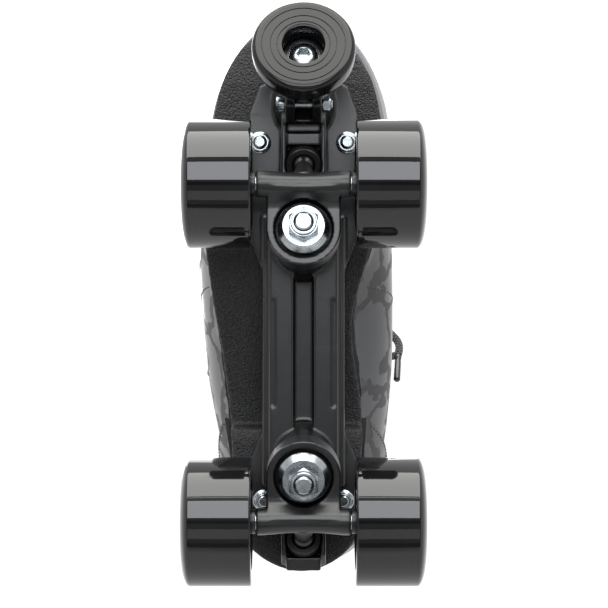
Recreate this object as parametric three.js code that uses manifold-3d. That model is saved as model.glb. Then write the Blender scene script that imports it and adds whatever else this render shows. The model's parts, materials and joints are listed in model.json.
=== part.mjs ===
// A quad roller skate for the right foot: a laced high boot on a moulded nylon plate that carries two
// sprung trucks, four wheels on ball bearings and an adjustable toe stop. Millimetres, +Z up, +Y towards
// the toe, +X to the outer side. The origin is on the floor, under the middle of the skate's overall box.

import * as THREE from "three";
import { mergeVertices } from "three/addons/utils/BufferGeometryUtils.js";
import Module from "manifold-3d";

const wasm = await Module();
wasm.setup();

// ---------------------------------------------------------------- driving dimensions

const GAP = 0.3; // between pieces that touch on the real skate
const SMALL_ROUND = 12; // sides of a thin turned piece
const ROUND = 18; // sides of a turned piece
const FINE_ROUND = 24; // sides of a large turned piece

const WHEELBASE = 152.4;
const SOLE_HEIGHT = 75; // from the floor to the plate's top face

const WHEEL = {
  diameter: 58,
  width: 31.5,
  insideGap: 46.9, // between the inner faces of a pair
  outerLipAcross: 4,
  outerLipRadial: 13,
  innerLip: 1,
  hubBore: 18,
  seatClearance: 0.25,
  innerRecess: 1.5,
  outerRecessRadius: 15.5,
};
const BEARING = { bore: 8, outside: 22, width: 7, runningGap: 0.2 };
const AXLE = { journal: 8, shank: 7, shoulder: 11, tipBack: 0.3, chamfer: 0.6, spacer: 7 };
const AXLE_NUT = { acrossFlats: 13, height: 6.5 };

const HANGER = {
  tube: 12.3, // diameter at its ends
  waist: 1.0, // how much thinner its radius is in the middle
  length: 42.8,
  yokeWidth: 33.6,
  rim: 7, // from the yoke's middle plane to its rim on the floor side
  back: 4.5, // and to its back on the plate side
  seat: 26.8, // diameter of the cushion seats
  web: 4, // thickness of the web that the cushions squeeze
  kingpinHole: 13,
  ball: 10,
  arm: 9,
  rib: 6,
};
const KINGPIN = {
  diameter: 8,
  tilt: THREE.MathUtils.degToRad(12),
  inboard: 21.5, // the yoke's middle, inboard of the axle
  above: 4, // and above it
  headAcrossFlats: 13,
  headHeight: 5,
  headDepth: 4, // from the plate's top face down to the head
  nutAcrossFlats: 13,
  nutHeight: 7,
  tip: 1.2, // beyond the nut
};
const PIVOT = { outboard: 10, above: 23, cupOutside: 16, cupFloor: 2.7, cupLip: 1 };
const CUSHION = { outside: 21.6, height: 8.2, taper: 2.3, straight: 5 };
const CUP = { rim: 24, top: 20, skirt: 4.4, thickness: 1.2 };
const INNER_WASHER = { outside: 24, thickness: 1.2 };

const PLATE = {
  thickness: 5,
  beamDepth: 21,
  railHalfWidth: 16,
  flangeHalfWidth: 19,
  flangeDepth: 15,
  grooveHalfWidth: 4.6,
  grooveDepth: 8,
  bossDiameter: 27,
  pivotHalfWidth: 10.3,
  pivotWall: 2.3,
  frontNose: 112.6,
  tail: -99,
};
const SOLE_BOLT = {
  diameter: 5,
  head: 11,
  headHeight: 2,
  nutAcrossFlats: 8,
  nutHeight: 4,
  flange: 10.4,
  flangeHeight: 1,
  tip: 1.4,
  front: { x: 20.4, y: 97.7 },
  rear: { x: 18.6, y: -70.3 },
};

const TOE_STOP = {
  tilt: THREE.MathUtils.degToRad(25),
  y: 138.3, // middle of the working face
  z: 20,
  diameter: 46.6,
  face: 41.4,
  straight: 9,
  back: 18,
  neck: 24,
  stemFlange: 1.3, // beyond the stem, all round
  mouthDepth: 12.8,
  groove: { radii: [17.4], width: 0.9, depth: 1.1 },
  stem: 16,
  stemLength: 39,
  domeDiameter: 13.5,
  domeHeight: 3,
  socket: 6,
  socketDepth: 2.2,
};
const HOLDER = {
  outside: 29,
  from: 24, // along the stem from the working face
  slotHalfWidth: 3.9,
  earHalfWidth: 8.4,
  earReach: 17,
  earFrom: 26,
  earTo: 42,
  boltAlong: 32,
  boltBack: 12.4,
  boltDiameter: 4,
  head: 8,
  headHeight: 4,
  nutAcrossFlats: 7,
};

const BOOT = {
  wall: 4,
  tongue: 6,
  tongueHalfWidth: 27,
  tongueBack: -22,
  tongueFront: 66,
  collarPad: 7,
  collarPadFrom: 103,
  counter: 2,
  footbed: 3,
  bulgeHeight: 28, // height above the sole's edge where the upper is widest
  heelRound: 37,
  heelHeight: 23.5, // of the foot above the plate
  top: 171, // of the tongue above the plate
};
const LACE = {
  diameter: 4,
  rows: 6,
  eyeletX: 18,
  lift: 3.5,
  arch: 3.9,
  knot: 13,
  knotOut: 9.5,
  tip: 3.4,
  tipLength: 16,
};

// ---------------------------------------------------------------- shapes and booleans

// Cutters reach past the skate on every side.
const AHEAD = 200;
const BEHIND = -140;
const SIDE_REACH = 90;
const ABOVE = 320;
const BELOW = -100;

const wheelRadius = WHEEL.diameter / 2;
const wheelX = WHEEL.insideGap / 2 + WHEEL.width / 2;

// A smooth value at t through [t, value] pairs in rising order of t, flat beyond the ends.
function through(pairs) {
  const slope = pairs.map((p, i) => {
    const before = pairs[Math.max(i - 1, 0)];
    const after = pairs[Math.min(i + 1, pairs.length - 1)];
    return (after[1] - before[1]) / (after[0] - before[0]);
  });
  return (t) => {
    if (t <= pairs[0][0]) return pairs[0][1];
    if (t >= pairs[pairs.length - 1][0]) return pairs[pairs.length - 1][1];
    const i = pairs.findIndex((p) => p[0] > t) - 1;
    const span = pairs[i + 1][0] - pairs[i][0];
    const s = (t - pairs[i][0]) / span;
    const rise = pairs[i + 1][1] - pairs[i][1];
    return (
      pairs[i][1] +
      rise * s * s * (3 - 2 * s) +
      slope[i] * span * s * (1 - s) * (1 - s) -
      slope[i + 1] * span * s * s * (1 - s)
    );
  };
}

// A closed geometry as a solid that can be joined and cut, placed by a matrix.
function solid(geometry, matrix) {
  const bare = new THREE.BufferGeometry();
  const flat = geometry.index ? geometry.toNonIndexed() : geometry;
  bare.setAttribute("position", flat.getAttribute("position").clone());
  if (matrix) bare.applyMatrix4(matrix);
  const merged = mergeVertices(bare, 1e-3);
  return new wasm.Manifold(
    new wasm.Mesh({
      numProp: 3,
      vertProperties: merged.attributes.position.array,
      triVerts: new Uint32Array(merged.index.array),
    }),
  );
}

function union(solids) {
  return solids.reduce((all, one) => all.add(one));
}

function mesh(name, body, material) {
  const made = body.getMesh();
  const geometry = new THREE.BufferGeometry();
  geometry.setAttribute("position", new THREE.BufferAttribute(made.vertProperties, 3));
  geometry.setIndex(new THREE.BufferAttribute(made.triVerts, 1));
  const flat = geometry.toNonIndexed();
  flat.computeVertexNormals();
  const result = new THREE.Mesh(flat, material);
  result.name = name;
  return result;
}

function at(x, y, z) {
  return new THREE.Matrix4().makeTranslation(x, y, z);
}

// A piece turned about Z from an outline of [radius, z] that is closed, or starts and ends on the axis.
function turned(outline, sides = ROUND) {
  const onAxis = outline[0][0] === 0;
  const closed = onAxis ? outline : [...outline, outline[0]];
  const area = closed.reduce((sum, [r, z], i) => {
    const [r2, z2] = closed[(i + 1) % closed.length];
    return sum + r * z2 - r2 * z;
  }, 0);
  const ordered = area > 0 ? closed : [...closed].reverse();
  const points = ordered.map(([r, z]) => new THREE.Vector2(r, z));
  return new THREE.LatheGeometry(points, sides).rotateX(Math.PI / 2);
}

function rod(radius, from, to, sides = ROUND) {
  return turned([[0, from], [radius, from], [radius, to], [0, to]], sides);
}

function ring(inner, outer, from, to, sides = ROUND) {
  return turned([[inner, from], [outer, from], [outer, to], [inner, to]], sides);
}

// A flat outline of [x, y] points, or a Shape, pushed up Z.
function prism(outline, from, to) {
  const shape = Array.isArray(outline)
    ? new THREE.Shape(outline.map(([x, y]) => new THREE.Vector2(x, y)))
    : outline;
  const options = { depth: to - from, bevelEnabled: false, curveSegments: 10 };
  return new THREE.ExtrudeGeometry(shape, options).translate(0, 0, from);
}

function hexagon(acrossFlats, turn = 0) {
  const radius = acrossFlats / Math.sqrt(3);
  return Array.from({ length: 6 }, (_, i) => {
    const angle = turn + (i * Math.PI) / 3;
    return [radius * Math.cos(angle), radius * Math.sin(angle)];
  });
}

// A side outline of [y, z] points, pushed across the skate from x = -half to x = half.
function sideways(outline, half) {
  const turn = new THREE.Matrix4().makeBasis(
    new THREE.Vector3(0, 1, 0),
    new THREE.Vector3(0, 0, 1),
    new THREE.Vector3(1, 0, 0),
  );
  return prism(outline, -half, half).applyMatrix4(turn);
}

function box(x0, x1, y0, y1, z0, z1) {
  return new THREE.BoxGeometry(x1 - x0, y1 - y0, z1 - z0).translate(
    (x0 + x1) / 2,
    (y0 + y1) / 2,
    (z0 + z1) / 2,
  );
}

function tube(points, radius, steps, sides = 8) {
  const path = new THREE.CatmullRomCurve3(points.map((p) => new THREE.Vector3(...p)));
  const section = new THREE.Shape(
    Array.from({ length: sides }, (_, i) => {
      const angle = (2 * Math.PI * i) / sides;
      return new THREE.Vector2(radius * Math.cos(angle), radius * Math.sin(angle));
    }),
  );
  return new THREE.ExtrudeGeometry(section, { steps, extrudePath: path, bevelEnabled: false });
}

// ---------------------------------------------------------------- materials

function material(color, roughness, metalness = 0) {
  return new THREE.MeshStandardMaterial({ color, roughness, metalness });
}

const URETHANE = material(0x111213, 0.12);
const NYLON = material(0x1c1d20, 0.5);
const ZINC = material(0xc9d2d6, 0.22, 1);
const STEEL = material(0x9a9fa3, 0.3, 1);
const CUSHION_RUBBER = material(0x0b0b0c, 0.45);
const STOP_RUBBER = material(0x141415, 0.25);
const SOLE_RUBBER = material(0x17181b, 0.7);
const VINYL = material(0x3b3d42, 0.3);
const LINING = material(0x101012, 0.9);
const LACE_CLOTH = material(0x0d0d0e, 0.85);
const LACE_TIP = material(0x0a0a0a, 0.2);

// ---------------------------------------------------------------- frames

const truckFrames = {
  front: at(0, WHEELBASE / 2, wheelRadius),
  rear: at(0, -WHEELBASE / 2, wheelRadius).multiply(new THREE.Matrix4().makeRotationZ(Math.PI)),
};
const kingpinInTruck = at(0, -KINGPIN.inboard, KINGPIN.above).multiply(
  new THREE.Matrix4().makeRotationX(KINGPIN.tilt),
);
const pivotTilt = Math.atan2(PIVOT.outboard, PIVOT.above);
const pivotInTruck = at(0, PIVOT.outboard, PIVOT.above).multiply(
  new THREE.Matrix4().makeRotationX(-pivotTilt),
);
const pivotCavity = HANGER.ball / 2 + 2 * GAP;
const toeStopFrame = at(0, TOE_STOP.y, TOE_STOP.z).multiply(
  new THREE.Matrix4().makeRotationX(TOE_STOP.tilt),
);

function inFrame(frame, local) {
  return frame.clone().multiply(local);
}

function placed(name, frame) {
  const group = new THREE.Group();
  group.name = name;
  group.applyMatrix4(frame);
  return group;
}

// Faces of the cushion stack, measured along the kingpin and up from the yoke's middle.
const webFace = HANGER.web / 2;
const innerCushionFrom = webFace + GAP;
const innerWasherFrom = innerCushionFrom + CUSHION.height + GAP;
const bossFace = innerWasherFrom + INNER_WASHER.thickness + GAP;
const outerCushionFrom = -webFace - GAP;
const cupFrom = outerCushionFrom - CUSHION.height - GAP;
const cupTop = cupFrom - CUP.thickness;
const nutFrom = cupTop - GAP;
const nutTo = nutFrom - KINGPIN.nutHeight;

const skate = new THREE.Group();

// ---------------------------------------------------------------- wheels and bearings

// Where each piece on the axle lies, measured outwards from the skate's middle plane.
const shoulderFrom = HANGER.length / 2 + GAP;
const innerBearingFrom = WHEEL.insideGap / 2 + WHEEL.innerRecess;
const shoulderTo = innerBearingFrom - GAP;
const outerBearingFrom = innerBearingFrom + BEARING.width + AXLE.spacer;
const axleNutFrom = outerBearingFrom + BEARING.width + GAP;
const axleTip = WHEEL.insideGap / 2 + WHEEL.width - AXLE.tipBack;

function wheelBody() {
  const half = WHEEL.width / 2;
  const seat = BEARING.outside / 2 + WHEEL.seatClearance;
  const innerSeatTo = innerBearingFrom + BEARING.width - wheelX + GAP / 2;
  const outerSeatFrom = outerBearingFrom - wheelX - GAP / 2;
  const outerSeatTo = outerBearingFrom + BEARING.width - wheelX + GAP;
  const lip = Array.from({ length: 4 }, (_, i) => {
    const angle = (i * Math.PI) / 6;
    return [
      wheelRadius - WHEEL.outerLipRadial * (1 - Math.sin(angle)),
      half - WHEEL.outerLipAcross * (1 - Math.cos(angle)),
    ];
  });
  return turned(
    [
      [WHEEL.hubBore / 2, innerSeatTo],
      [WHEEL.hubBore / 2, outerSeatFrom],
      [seat, outerSeatFrom],
      [seat, outerSeatTo],
      [WHEEL.outerRecessRadius, half],
      ...lip,
      [wheelRadius, WHEEL.innerLip - half],
      [wheelRadius - WHEEL.innerLip, -half],
      [seat, -half],
      [seat, innerSeatTo],
    ],
    FINE_ROUND,
  );
}

function bearingBody() {
  return ring(BEARING.bore / 2 + BEARING.runningGap, BEARING.outside / 2, 0, BEARING.width);
}

// Turns a piece's +Z outwards along the axle, on the right (+X) or the left.
function outwards(side) {
  return new THREE.Matrix4().makeRotationY((side * Math.PI) / 2);
}

function addWheels(truck, end) {
  for (const [sideName, side] of [["right", 1], ["left", -1]]) {
    const hub = placed(`${end}_${sideName}_hub`, outwards(end === "front" ? side : -side));
    const wheel = mesh(`${end}_${sideName}_wheel`, solid(wheelBody()), URETHANE);
    wheel.position.z = wheelX;
    const bearings = { inner: innerBearingFrom, outer: outerBearingFrom };
    for (const [which, from] of Object.entries(bearings)) {
      const bearing = mesh(`${end}_${sideName}_${which}_bearing`, solid(bearingBody()), STEEL);
      bearing.position.z = from;
      hub.add(bearing);
    }
    const nutBore = rod(AXLE.journal / 2 + GAP, -1, AXLE_NUT.height + 1, SMALL_ROUND);
    const nutBody = solid(prism(hexagon(AXLE_NUT.acrossFlats), 0, AXLE_NUT.height));
    const nut = mesh(`${end}_${sideName}_axle_nut`, nutBody.subtract(solid(nutBore)), ZINC);
    nut.position.z = axleNutFrom;
    hub.add(wheel, nut);
    truck.add(hub);
  }
}

// ---------------------------------------------------------------- trucks

function axleBody() {
  const half = [
    [AXLE.shank / 2, 0],
    [AXLE.shank / 2, shoulderFrom],
    [AXLE.shoulder / 2, shoulderFrom],
    [AXLE.shoulder / 2, shoulderTo],
    [AXLE.journal / 2, shoulderTo],
    [AXLE.journal / 2, axleTip - AXLE.chamfer],
    [AXLE.journal / 2 - AXLE.chamfer, axleTip],
    [0, axleTip],
  ];
  const other = half.slice(1).map(([r, z]) => [r, -z]);
  return solid(turned([...other.reverse(), ...half.slice(1)], SMALL_ROUND), outwards(1));
}

function hangerBody() {
  const steps = 4;
  const tubeOutline = Array.from({ length: steps + 1 }, (_, i) => {
    const share = (2 * i) / steps - 1;
    const radius = HANGER.tube / 2 - HANGER.waist * (1 - share * share);
    return [radius, (share * HANGER.length) / 2];
  });
  const ends = HANGER.length / 2;
  const tubePiece = solid(turned([[0, -ends], ...tubeOutline, [0, ends]]), outwards(1));
  const axleInYoke = new THREE.Vector3(0, 0, 0).applyMatrix4(kingpinInTruck.clone().invert());
  const half = HANGER.yokeWidth / 2;
  const plan = new THREE.Shape();
  plan.moveTo(half, axleInYoke.y);
  plan.lineTo(-half, axleInYoke.y);
  plan.lineTo(-half, 0);
  plan.absarc(0, 0, half, Math.PI, 2 * Math.PI, false);
  const yoke = solid(prism(plan, -HANGER.rim, HANGER.back), kingpinInTruck);
  const seat = HANGER.seat / 2;
  const outerSeat = solid(rod(seat, -HANGER.rim - 1, -webFace), kingpinInTruck);
  const innerSeat = solid(rod(seat, webFace, HANGER.back + 1), kingpinInTruck);
  const hole = solid(rod(HANGER.kingpinHole / 2, -webFace - 1, webFace + 1, SMALL_ROUND), kingpinInTruck);
  const armLength = Math.hypot(PIVOT.outboard, PIVOT.above);
  const arm = solid(
    turned([
      [0, -armLength],
      [HANGER.arm / 2 + 1.5, -armLength],
      [HANGER.arm / 2 - 1.2, -HANGER.ball / 4],
      [0, -HANGER.ball / 4],
    ], SMALL_ROUND),
    pivotInTruck,
  );
  const ball = solid(new THREE.SphereGeometry(HANGER.ball / 2, SMALL_ROUND, 8), pivotInTruck);
  const ribOutline = [
    [-KINGPIN.inboard / 3, 2],
    [2, -2],
    [PIVOT.outboard * 0.72, PIVOT.above * 0.72],
    [PIVOT.outboard * 0.45, PIVOT.above * 0.72],
  ];
  const rib = solid(sideways(ribOutline, HANGER.rib / 2));
  const bore = solid(rod(AXLE.shank / 2 + GAP, -ends - 1, ends + 1, SMALL_ROUND), outwards(1));
  return union([tubePiece, yoke, arm, rib, ball])
    .subtract(outerSeat)
    .subtract(innerSeat)
    .subtract(hole)
    .subtract(bore);
}

function cushionBody() {
  const radius = CUSHION.outside / 2;
  const hole = KINGPIN.diameter / 2 + GAP;
  return turned([
    [hole, 0],
    [radius, 0],
    [radius, CUSHION.straight],
    [radius - CUSHION.taper, CUSHION.height],
    [hole, CUSHION.height],
  ]);
}

// The pressed cup over the outer cushion, its mouth at z = -skirt and its flat top at z = 0.
function cupBody() {
  const hole = KINGPIN.diameter / 2 + GAP;
  const slope = (CUP.rim - CUP.top) / 2 / CUP.skirt;
  const inside = CUP.top / 2 - CUP.thickness + slope * CUP.thickness;
  return turned([
    [hole, 0],
    [hole, -CUP.thickness],
    [inside, -CUP.thickness],
    [CUP.rim / 2 - CUP.thickness, -CUP.skirt],
    [CUP.rim / 2, -CUP.skirt],
    [CUP.top / 2, 0],
  ]);
}

function kingpinNutBody() {
  const blank = solid(prism(hexagon(KINGPIN.nutAcrossFlats, Math.PI / 6), 0, KINGPIN.nutHeight));
  const collar = solid(rod(KINGPIN.nutAcrossFlats / 2 - 1, 0, KINGPIN.nutHeight));
  const hexHeight = KINGPIN.nutHeight - 1.6;
  const waste = solid(ring(KINGPIN.nutAcrossFlats / 2 - 1, 12, hexHeight, KINGPIN.nutHeight + 1));
  const bore = solid(rod(KINGPIN.diameter / 2 + GAP, -1, KINGPIN.nutHeight + 1, SMALL_ROUND));
  return blank.subtract(waste).add(collar).subtract(bore);
}

// Where the kingpin's axis comes out of the plate's top face, along the kingpin from the yoke's middle.
const kingpinTop = (SOLE_HEIGHT - wheelRadius - KINGPIN.above) / Math.cos(KINGPIN.tilt);
const kingpinHeadTop = kingpinTop - KINGPIN.headDepth;

function kingpinBody() {
  const radius = KINGPIN.diameter / 2;
  const bottom = nutTo - KINGPIN.tip;
  const shank = turned([
    [0, bottom],
    [radius - AXLE.chamfer, bottom],
    [radius, bottom + AXLE.chamfer],
    [radius, kingpinHeadTop],
    [0, kingpinHeadTop],
  ], SMALL_ROUND);
  const headFrom = kingpinHeadTop - KINGPIN.headHeight;
  const head = prism(hexagon(KINGPIN.headAcrossFlats), headFrom, kingpinHeadTop);
  return solid(shank).add(solid(head));
}

function pivotCupBody() {
  const cavity = pivotCavity;
  const outside = PIVOT.cupOutside / 2;
  const lip = -PIVOT.cupLip;
  const arc = Array.from({ length: 5 }, (_, i) => {
    const start = Math.asin(lip / cavity);
    const angle = start + ((Math.PI / 2 - start) * i) / 4;
    return [i === 4 ? 0 : cavity * Math.cos(angle), cavity * Math.sin(angle)];
  });
  const top = cavity + PIVOT.cupFloor;
  return turned([...arc.reverse(), [outside, lip], [outside, top], [0, top]], SMALL_ROUND);
}

function addTruck(end) {
  const truck = placed(`${end}_truck`, truckFrames[end]);
  truck.add(mesh(`${end}_hanger`, hangerBody(), NYLON));
  truck.add(mesh(`${end}_axle`, axleBody(), STEEL));
  addWheels(truck, end);

  const stack = placed(`${end}_kingpin_stack`, kingpinInTruck);
  const inner = mesh(`${end}_inner_cushion`, solid(cushionBody()), CUSHION_RUBBER);
  inner.position.z = innerCushionFrom;
  const outer = mesh(`${end}_outer_cushion`, solid(cushionBody()), CUSHION_RUBBER);
  outer.rotation.x = Math.PI;
  outer.position.z = outerCushionFrom;
  const washerHole = KINGPIN.diameter / 2 + GAP;
  const washerBody = ring(washerHole, INNER_WASHER.outside / 2, 0, INNER_WASHER.thickness);
  const washer = mesh(`${end}_inner_washer`, solid(washerBody), ZINC);
  washer.position.z = innerWasherFrom;
  const cup = mesh(`${end}_cushion_cup`, solid(cupBody()), ZINC);
  cup.rotation.x = Math.PI;
  cup.position.z = cupTop;
  const nut = mesh(`${end}_kingpin_nut`, kingpinNutBody(), ZINC);
  nut.rotation.x = Math.PI;
  nut.position.z = nutFrom;
  stack.add(inner, outer, washer, cup, nut, mesh(`${end}_kingpin`, kingpinBody(), ZINC));
  truck.add(stack);

  const socket = placed(`${end}_pivot`, pivotInTruck);
  socket.add(mesh(`${end}_pivot_cup`, solid(pivotCupBody()), CUSHION_RUBBER));
  truck.add(socket);
  skate.add(truck);
}

addTruck("front");
addTruck("rear");

// ---------------------------------------------------------------- plate

function mirrored(right) {
  return [...right, ...right.map(([x, y]) => [-x, y]).reverse()];
}

function plateSlab() {
  const outline = mirrored([
    [10, 130],
    [21, 124],
    [25.5, 112],
    [27, 96],
    [27, 66],
    [24, 50],
    [PLATE.flangeHalfWidth + 0.5, 38],
    [PLATE.flangeHalfWidth, 20],
    [PLATE.flangeHalfWidth, -20],
    [PLATE.flangeHalfWidth + 0.5, -38],
    [25, -52],
    [25.5, -82],
    [PLATE.pivotHalfWidth, -85],
  ]);
  const base = SOLE_HEIGHT - PLATE.thickness;
  return solid(prism(outline, base, SOLE_HEIGHT));
}

function plateBeam() {
  const top = SOLE_HEIGHT;
  const end = WHEELBASE / 2 - KINGPIN.inboard + 8;
  const rails = box(-PLATE.railHalfWidth, PLATE.railHalfWidth, -end, end, top - PLATE.beamDepth, top);
  const flanges = box(
    -PLATE.flangeHalfWidth,
    PLATE.flangeHalfWidth,
    -end,
    end,
    top - PLATE.flangeDepth,
    top,
  );
  const grooveEnd = end - 25;
  const grooveFloor = top - PLATE.beamDepth + PLATE.grooveDepth;
  const half = PLATE.grooveHalfWidth;
  const groove = box(-half, half, -grooveEnd, grooveEnd, 0, grooveFloor);
  return solid(rails).add(solid(flanges)).subtract(solid(groove));
}

// The raised box round a pivot cup, open towards the floor between its side walls.
function pivotHousing(end) {
  const inner = WHEELBASE / 2 - 2;
  const outer = end === "front" ? PLATE.frontNose : -PLATE.tail;
  const depth = SOLE_HEIGHT - wheelRadius - PIVOT.above + 1;
  const low = SOLE_HEIGHT - depth;
  const outline = [
    [inner, SOLE_HEIGHT],
    [inner, low + 9],
    [inner + 6, low],
    [outer - 5, low],
    [outer, low + 5],
    [outer, SOLE_HEIGHT],
  ];
  const pocketHalf = PLATE.pivotHalfWidth - PLATE.pivotWall;
  const turn = end === "front" ? new THREE.Matrix4() : new THREE.Matrix4().makeRotationZ(Math.PI);
  const pocket = box(-pocketHalf, pocketHalf, inner + 13, outer - 4, 0, low + 4);
  const saddle = box(-pocketHalf, pocketHalf, inner + 21, inner + 27, low + 1, low + 6);
  return solid(sideways(outline, PLATE.pivotHalfWidth), turn)
    .subtract(solid(pocket, turn))
    .add(solid(saddle, turn));
}

function plateEndCuts(end) {
  const kingpin = inFrame(truckFrames[end], kingpinInTruck);
  const pivot = inFrame(truckFrames[end], pivotInTruck);
  const shank = rod(KINGPIN.diameter / 2 + GAP, bossFace - 1, kingpinTop + 8);
  const headSeat = kingpinHeadTop - KINGPIN.headHeight - GAP;
  const pocket = prism(hexagon(KINGPIN.headAcrossFlats + 2 * GAP), headSeat, kingpinTop + 8);
  const cupTopFace = pivotCavity + PIVOT.cupFloor + GAP;
  const socket = rod(PIVOT.cupOutside / 2 + GAP, -12, cupTopFace, SMALL_ROUND);
  // The room that the hanger's arm sweeps through below its cup.
  const sweep = turned([[0, -14], [17, -14], [7.9, -PIVOT.cupLip], [0, -PIVOT.cupLip]], SMALL_ROUND);
  return [
    solid(shank, kingpin),
    solid(pocket, kingpin),
    solid(socket, pivot),
    solid(sweep, pivot),
  ];
}

function toeStopHolder() {
  const outside = HOLDER.outside / 2;
  const barrel = rod(outside, HOLDER.from, 62);
  const half = HOLDER.earHalfWidth;
  const ears = box(-half, half, -HOLDER.earReach, 0, HOLDER.earFrom, HOLDER.earTo);
  const gusset = box(-half, half, -HOLDER.earReach + 2, 0, HOLDER.earTo - 1, 62);
  return [solid(barrel, toeStopFrame), solid(ears, toeStopFrame), solid(gusset, toeStopFrame)];
}

function toeStopCuts() {
  const slot = HOLDER.slotHalfWidth;
  const spot = HOLDER.head / 2 + 1;
  const crossBolt = new THREE.Matrix4()
    .makeRotationY(Math.PI / 2)
    .setPosition(0, -HOLDER.boltBack, HOLDER.boltAlong);
  return [
    solid(rod(TOE_STOP.stem / 2 + GAP, 0, 80), toeStopFrame),
    solid(box(-slot, slot, -HOLDER.earReach - 12, 0, 0, HOLDER.earTo - 2), toeStopFrame),
    solid(rod(HOLDER.boltDiameter / 2 + GAP, -20, 20, SMALL_ROUND), inFrame(toeStopFrame, crossBolt)),
    solid(rod(spot, HOLDER.earHalfWidth, 20, SMALL_ROUND), inFrame(toeStopFrame, crossBolt)),
    solid(rod(spot, -20, -HOLDER.earHalfWidth, SMALL_ROUND), inFrame(toeStopFrame, crossBolt)),
  ];
}

function soleBoltPlaces() {
  const { front, rear } = SOLE_BOLT;
  return {
    front_right: [front.x, front.y],
    front_left: [-front.x, front.y],
    rear_right: [rear.x, rear.y],
    rear_left: [-rear.x, rear.y],
  };
}

function soleBoltHoles() {
  return Object.values(soleBoltPlaces()).map(([x, y]) =>
    solid(rod(SOLE_BOLT.diameter / 2 + GAP, BELOW, ABOVE, SMALL_ROUND), at(x, y, 0)),
  );
}

function plateBody() {
  const bosses = ["front", "rear"].map((end) =>
    solid(
      rod(PLATE.bossDiameter / 2, bossFace, kingpinTop + 4),
      inFrame(truckFrames[end], kingpinInTruck),
    ),
  );
  const whole = union([
    plateSlab(),
    plateBeam(),
    ...bosses,
    pivotHousing("front"),
    pivotHousing("rear"),
    ...toeStopHolder(),
  ]);
  const overTop = box(-SIDE_REACH, SIDE_REACH, BEHIND, AHEAD, SOLE_HEIGHT, ABOVE);
  const cuts = [
    solid(overTop),
    ...plateEndCuts("front"),
    ...plateEndCuts("rear"),
    ...toeStopCuts(),
    ...soleBoltHoles(),
  ];
  return cuts.reduce((body, cut) => body.subtract(cut), whole);
}

skate.add(mesh("plate", plateBody(), NYLON));

// ---------------------------------------------------------------- toe stop and its pinch bolt

const stemFlange = TOE_STOP.stem / 2 + TOE_STOP.stemFlange;

function toeStopRubber() {
  const radius = TOE_STOP.diameter / 2;
  const rimRound = radius - TOE_STOP.face / 2;
  const rim = Array.from({ length: 4 }, (_, i) => {
    const angle = (i * Math.PI) / 6;
    return [radius - rimRound * (1 - Math.sin(angle)), rimRound * (1 - Math.cos(angle))];
  });
  const { radii, width, depth } = TOE_STOP.groove;
  const grooves = [...radii].reverse().flatMap((r) => [
    [r - width / 2, 0],
    [r - width / 2, depth],
    [r + width / 2, depth],
    [r + width / 2, 0],
  ]);
  const hole = TOE_STOP.stem / 2 + GAP;
  const mouth = stemFlange + GAP;
  const seat = TOE_STOP.mouthDepth + GAP;
  return turned(
    [
      [mouth, seat],
      [mouth, 0],
      ...grooves,
      ...rim,
      [radius, TOE_STOP.straight],
      [radius - 3.5, TOE_STOP.straight + 3],
      [TOE_STOP.neck / 2, TOE_STOP.back],
      [hole, TOE_STOP.back],
      [hole, seat],
    ],
    FINE_ROUND,
  );
}

function toeStopStem() {
  const flangeTo = TOE_STOP.mouthDepth;
  const flangeFrom = flangeTo - 1.5;
  const dome = TOE_STOP.domeDiameter / 2;
  const stemTo = TOE_STOP.mouthDepth + TOE_STOP.stemLength;
  const radius = TOE_STOP.stem / 2;
  const body = turned([
    [0, flangeFrom - TOE_STOP.domeHeight],
    [dome * 0.62, flangeFrom - TOE_STOP.domeHeight * 0.92],
    [dome * 0.9, flangeFrom - TOE_STOP.domeHeight * 0.5],
    [dome, flangeFrom],
    [stemFlange, flangeFrom],
    [stemFlange, flangeTo],
    [radius, flangeTo],
    [radius, stemTo - 1],
    [radius - 1, stemTo],
    [0, stemTo],
  ]);
  const socketFrom = flangeFrom - TOE_STOP.domeHeight - 1;
  const socket = prism(hexagon(TOE_STOP.socket), socketFrom, socketFrom + 1 + TOE_STOP.socketDepth);
  return solid(body).subtract(solid(socket));
}

function addToeStop() {
  const stop = placed("toe_stop_assembly", toeStopFrame);
  stop.add(mesh("toe_stop_rubber", solid(toeStopRubber()), STOP_RUBBER));
  stop.add(mesh("toe_stop_stem", toeStopStem(), ZINC));
  const across = placed("pinch", at(0, -HOLDER.boltBack, HOLDER.boltAlong));
  across.rotation.y = Math.PI / 2;
  const ear = HOLDER.earHalfWidth + GAP;
  const radius = HOLDER.boltDiameter / 2;
  const bolt = turned(
    [
      [0, -ear - HOLDER.headHeight - 0.6],
      [radius, -ear - HOLDER.headHeight - 0.6],
      [radius, ear],
      [HOLDER.head / 2, ear],
      [HOLDER.head / 2, ear + HOLDER.headHeight * 0.5],
      [HOLDER.head / 4, ear + HOLDER.headHeight],
      [0, ear + HOLDER.headHeight],
    ],
    16,
  );
  const nutBlank = solid(prism(hexagon(HOLDER.nutAcrossFlats), -ear - HOLDER.headHeight, -ear));
  const nut = nutBlank.subtract(solid(rod(radius + GAP, -ear - 8, -ear + 2, 12)));
  across.add(mesh("toe_stop_pinch_bolt", solid(bolt), ZINC));
  across.add(mesh("toe_stop_pinch_nut", nut, ZINC));
  stop.add(across);
  skate.add(stop);
}

addToeStop();

// ---------------------------------------------------------------- sole and footbed

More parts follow.
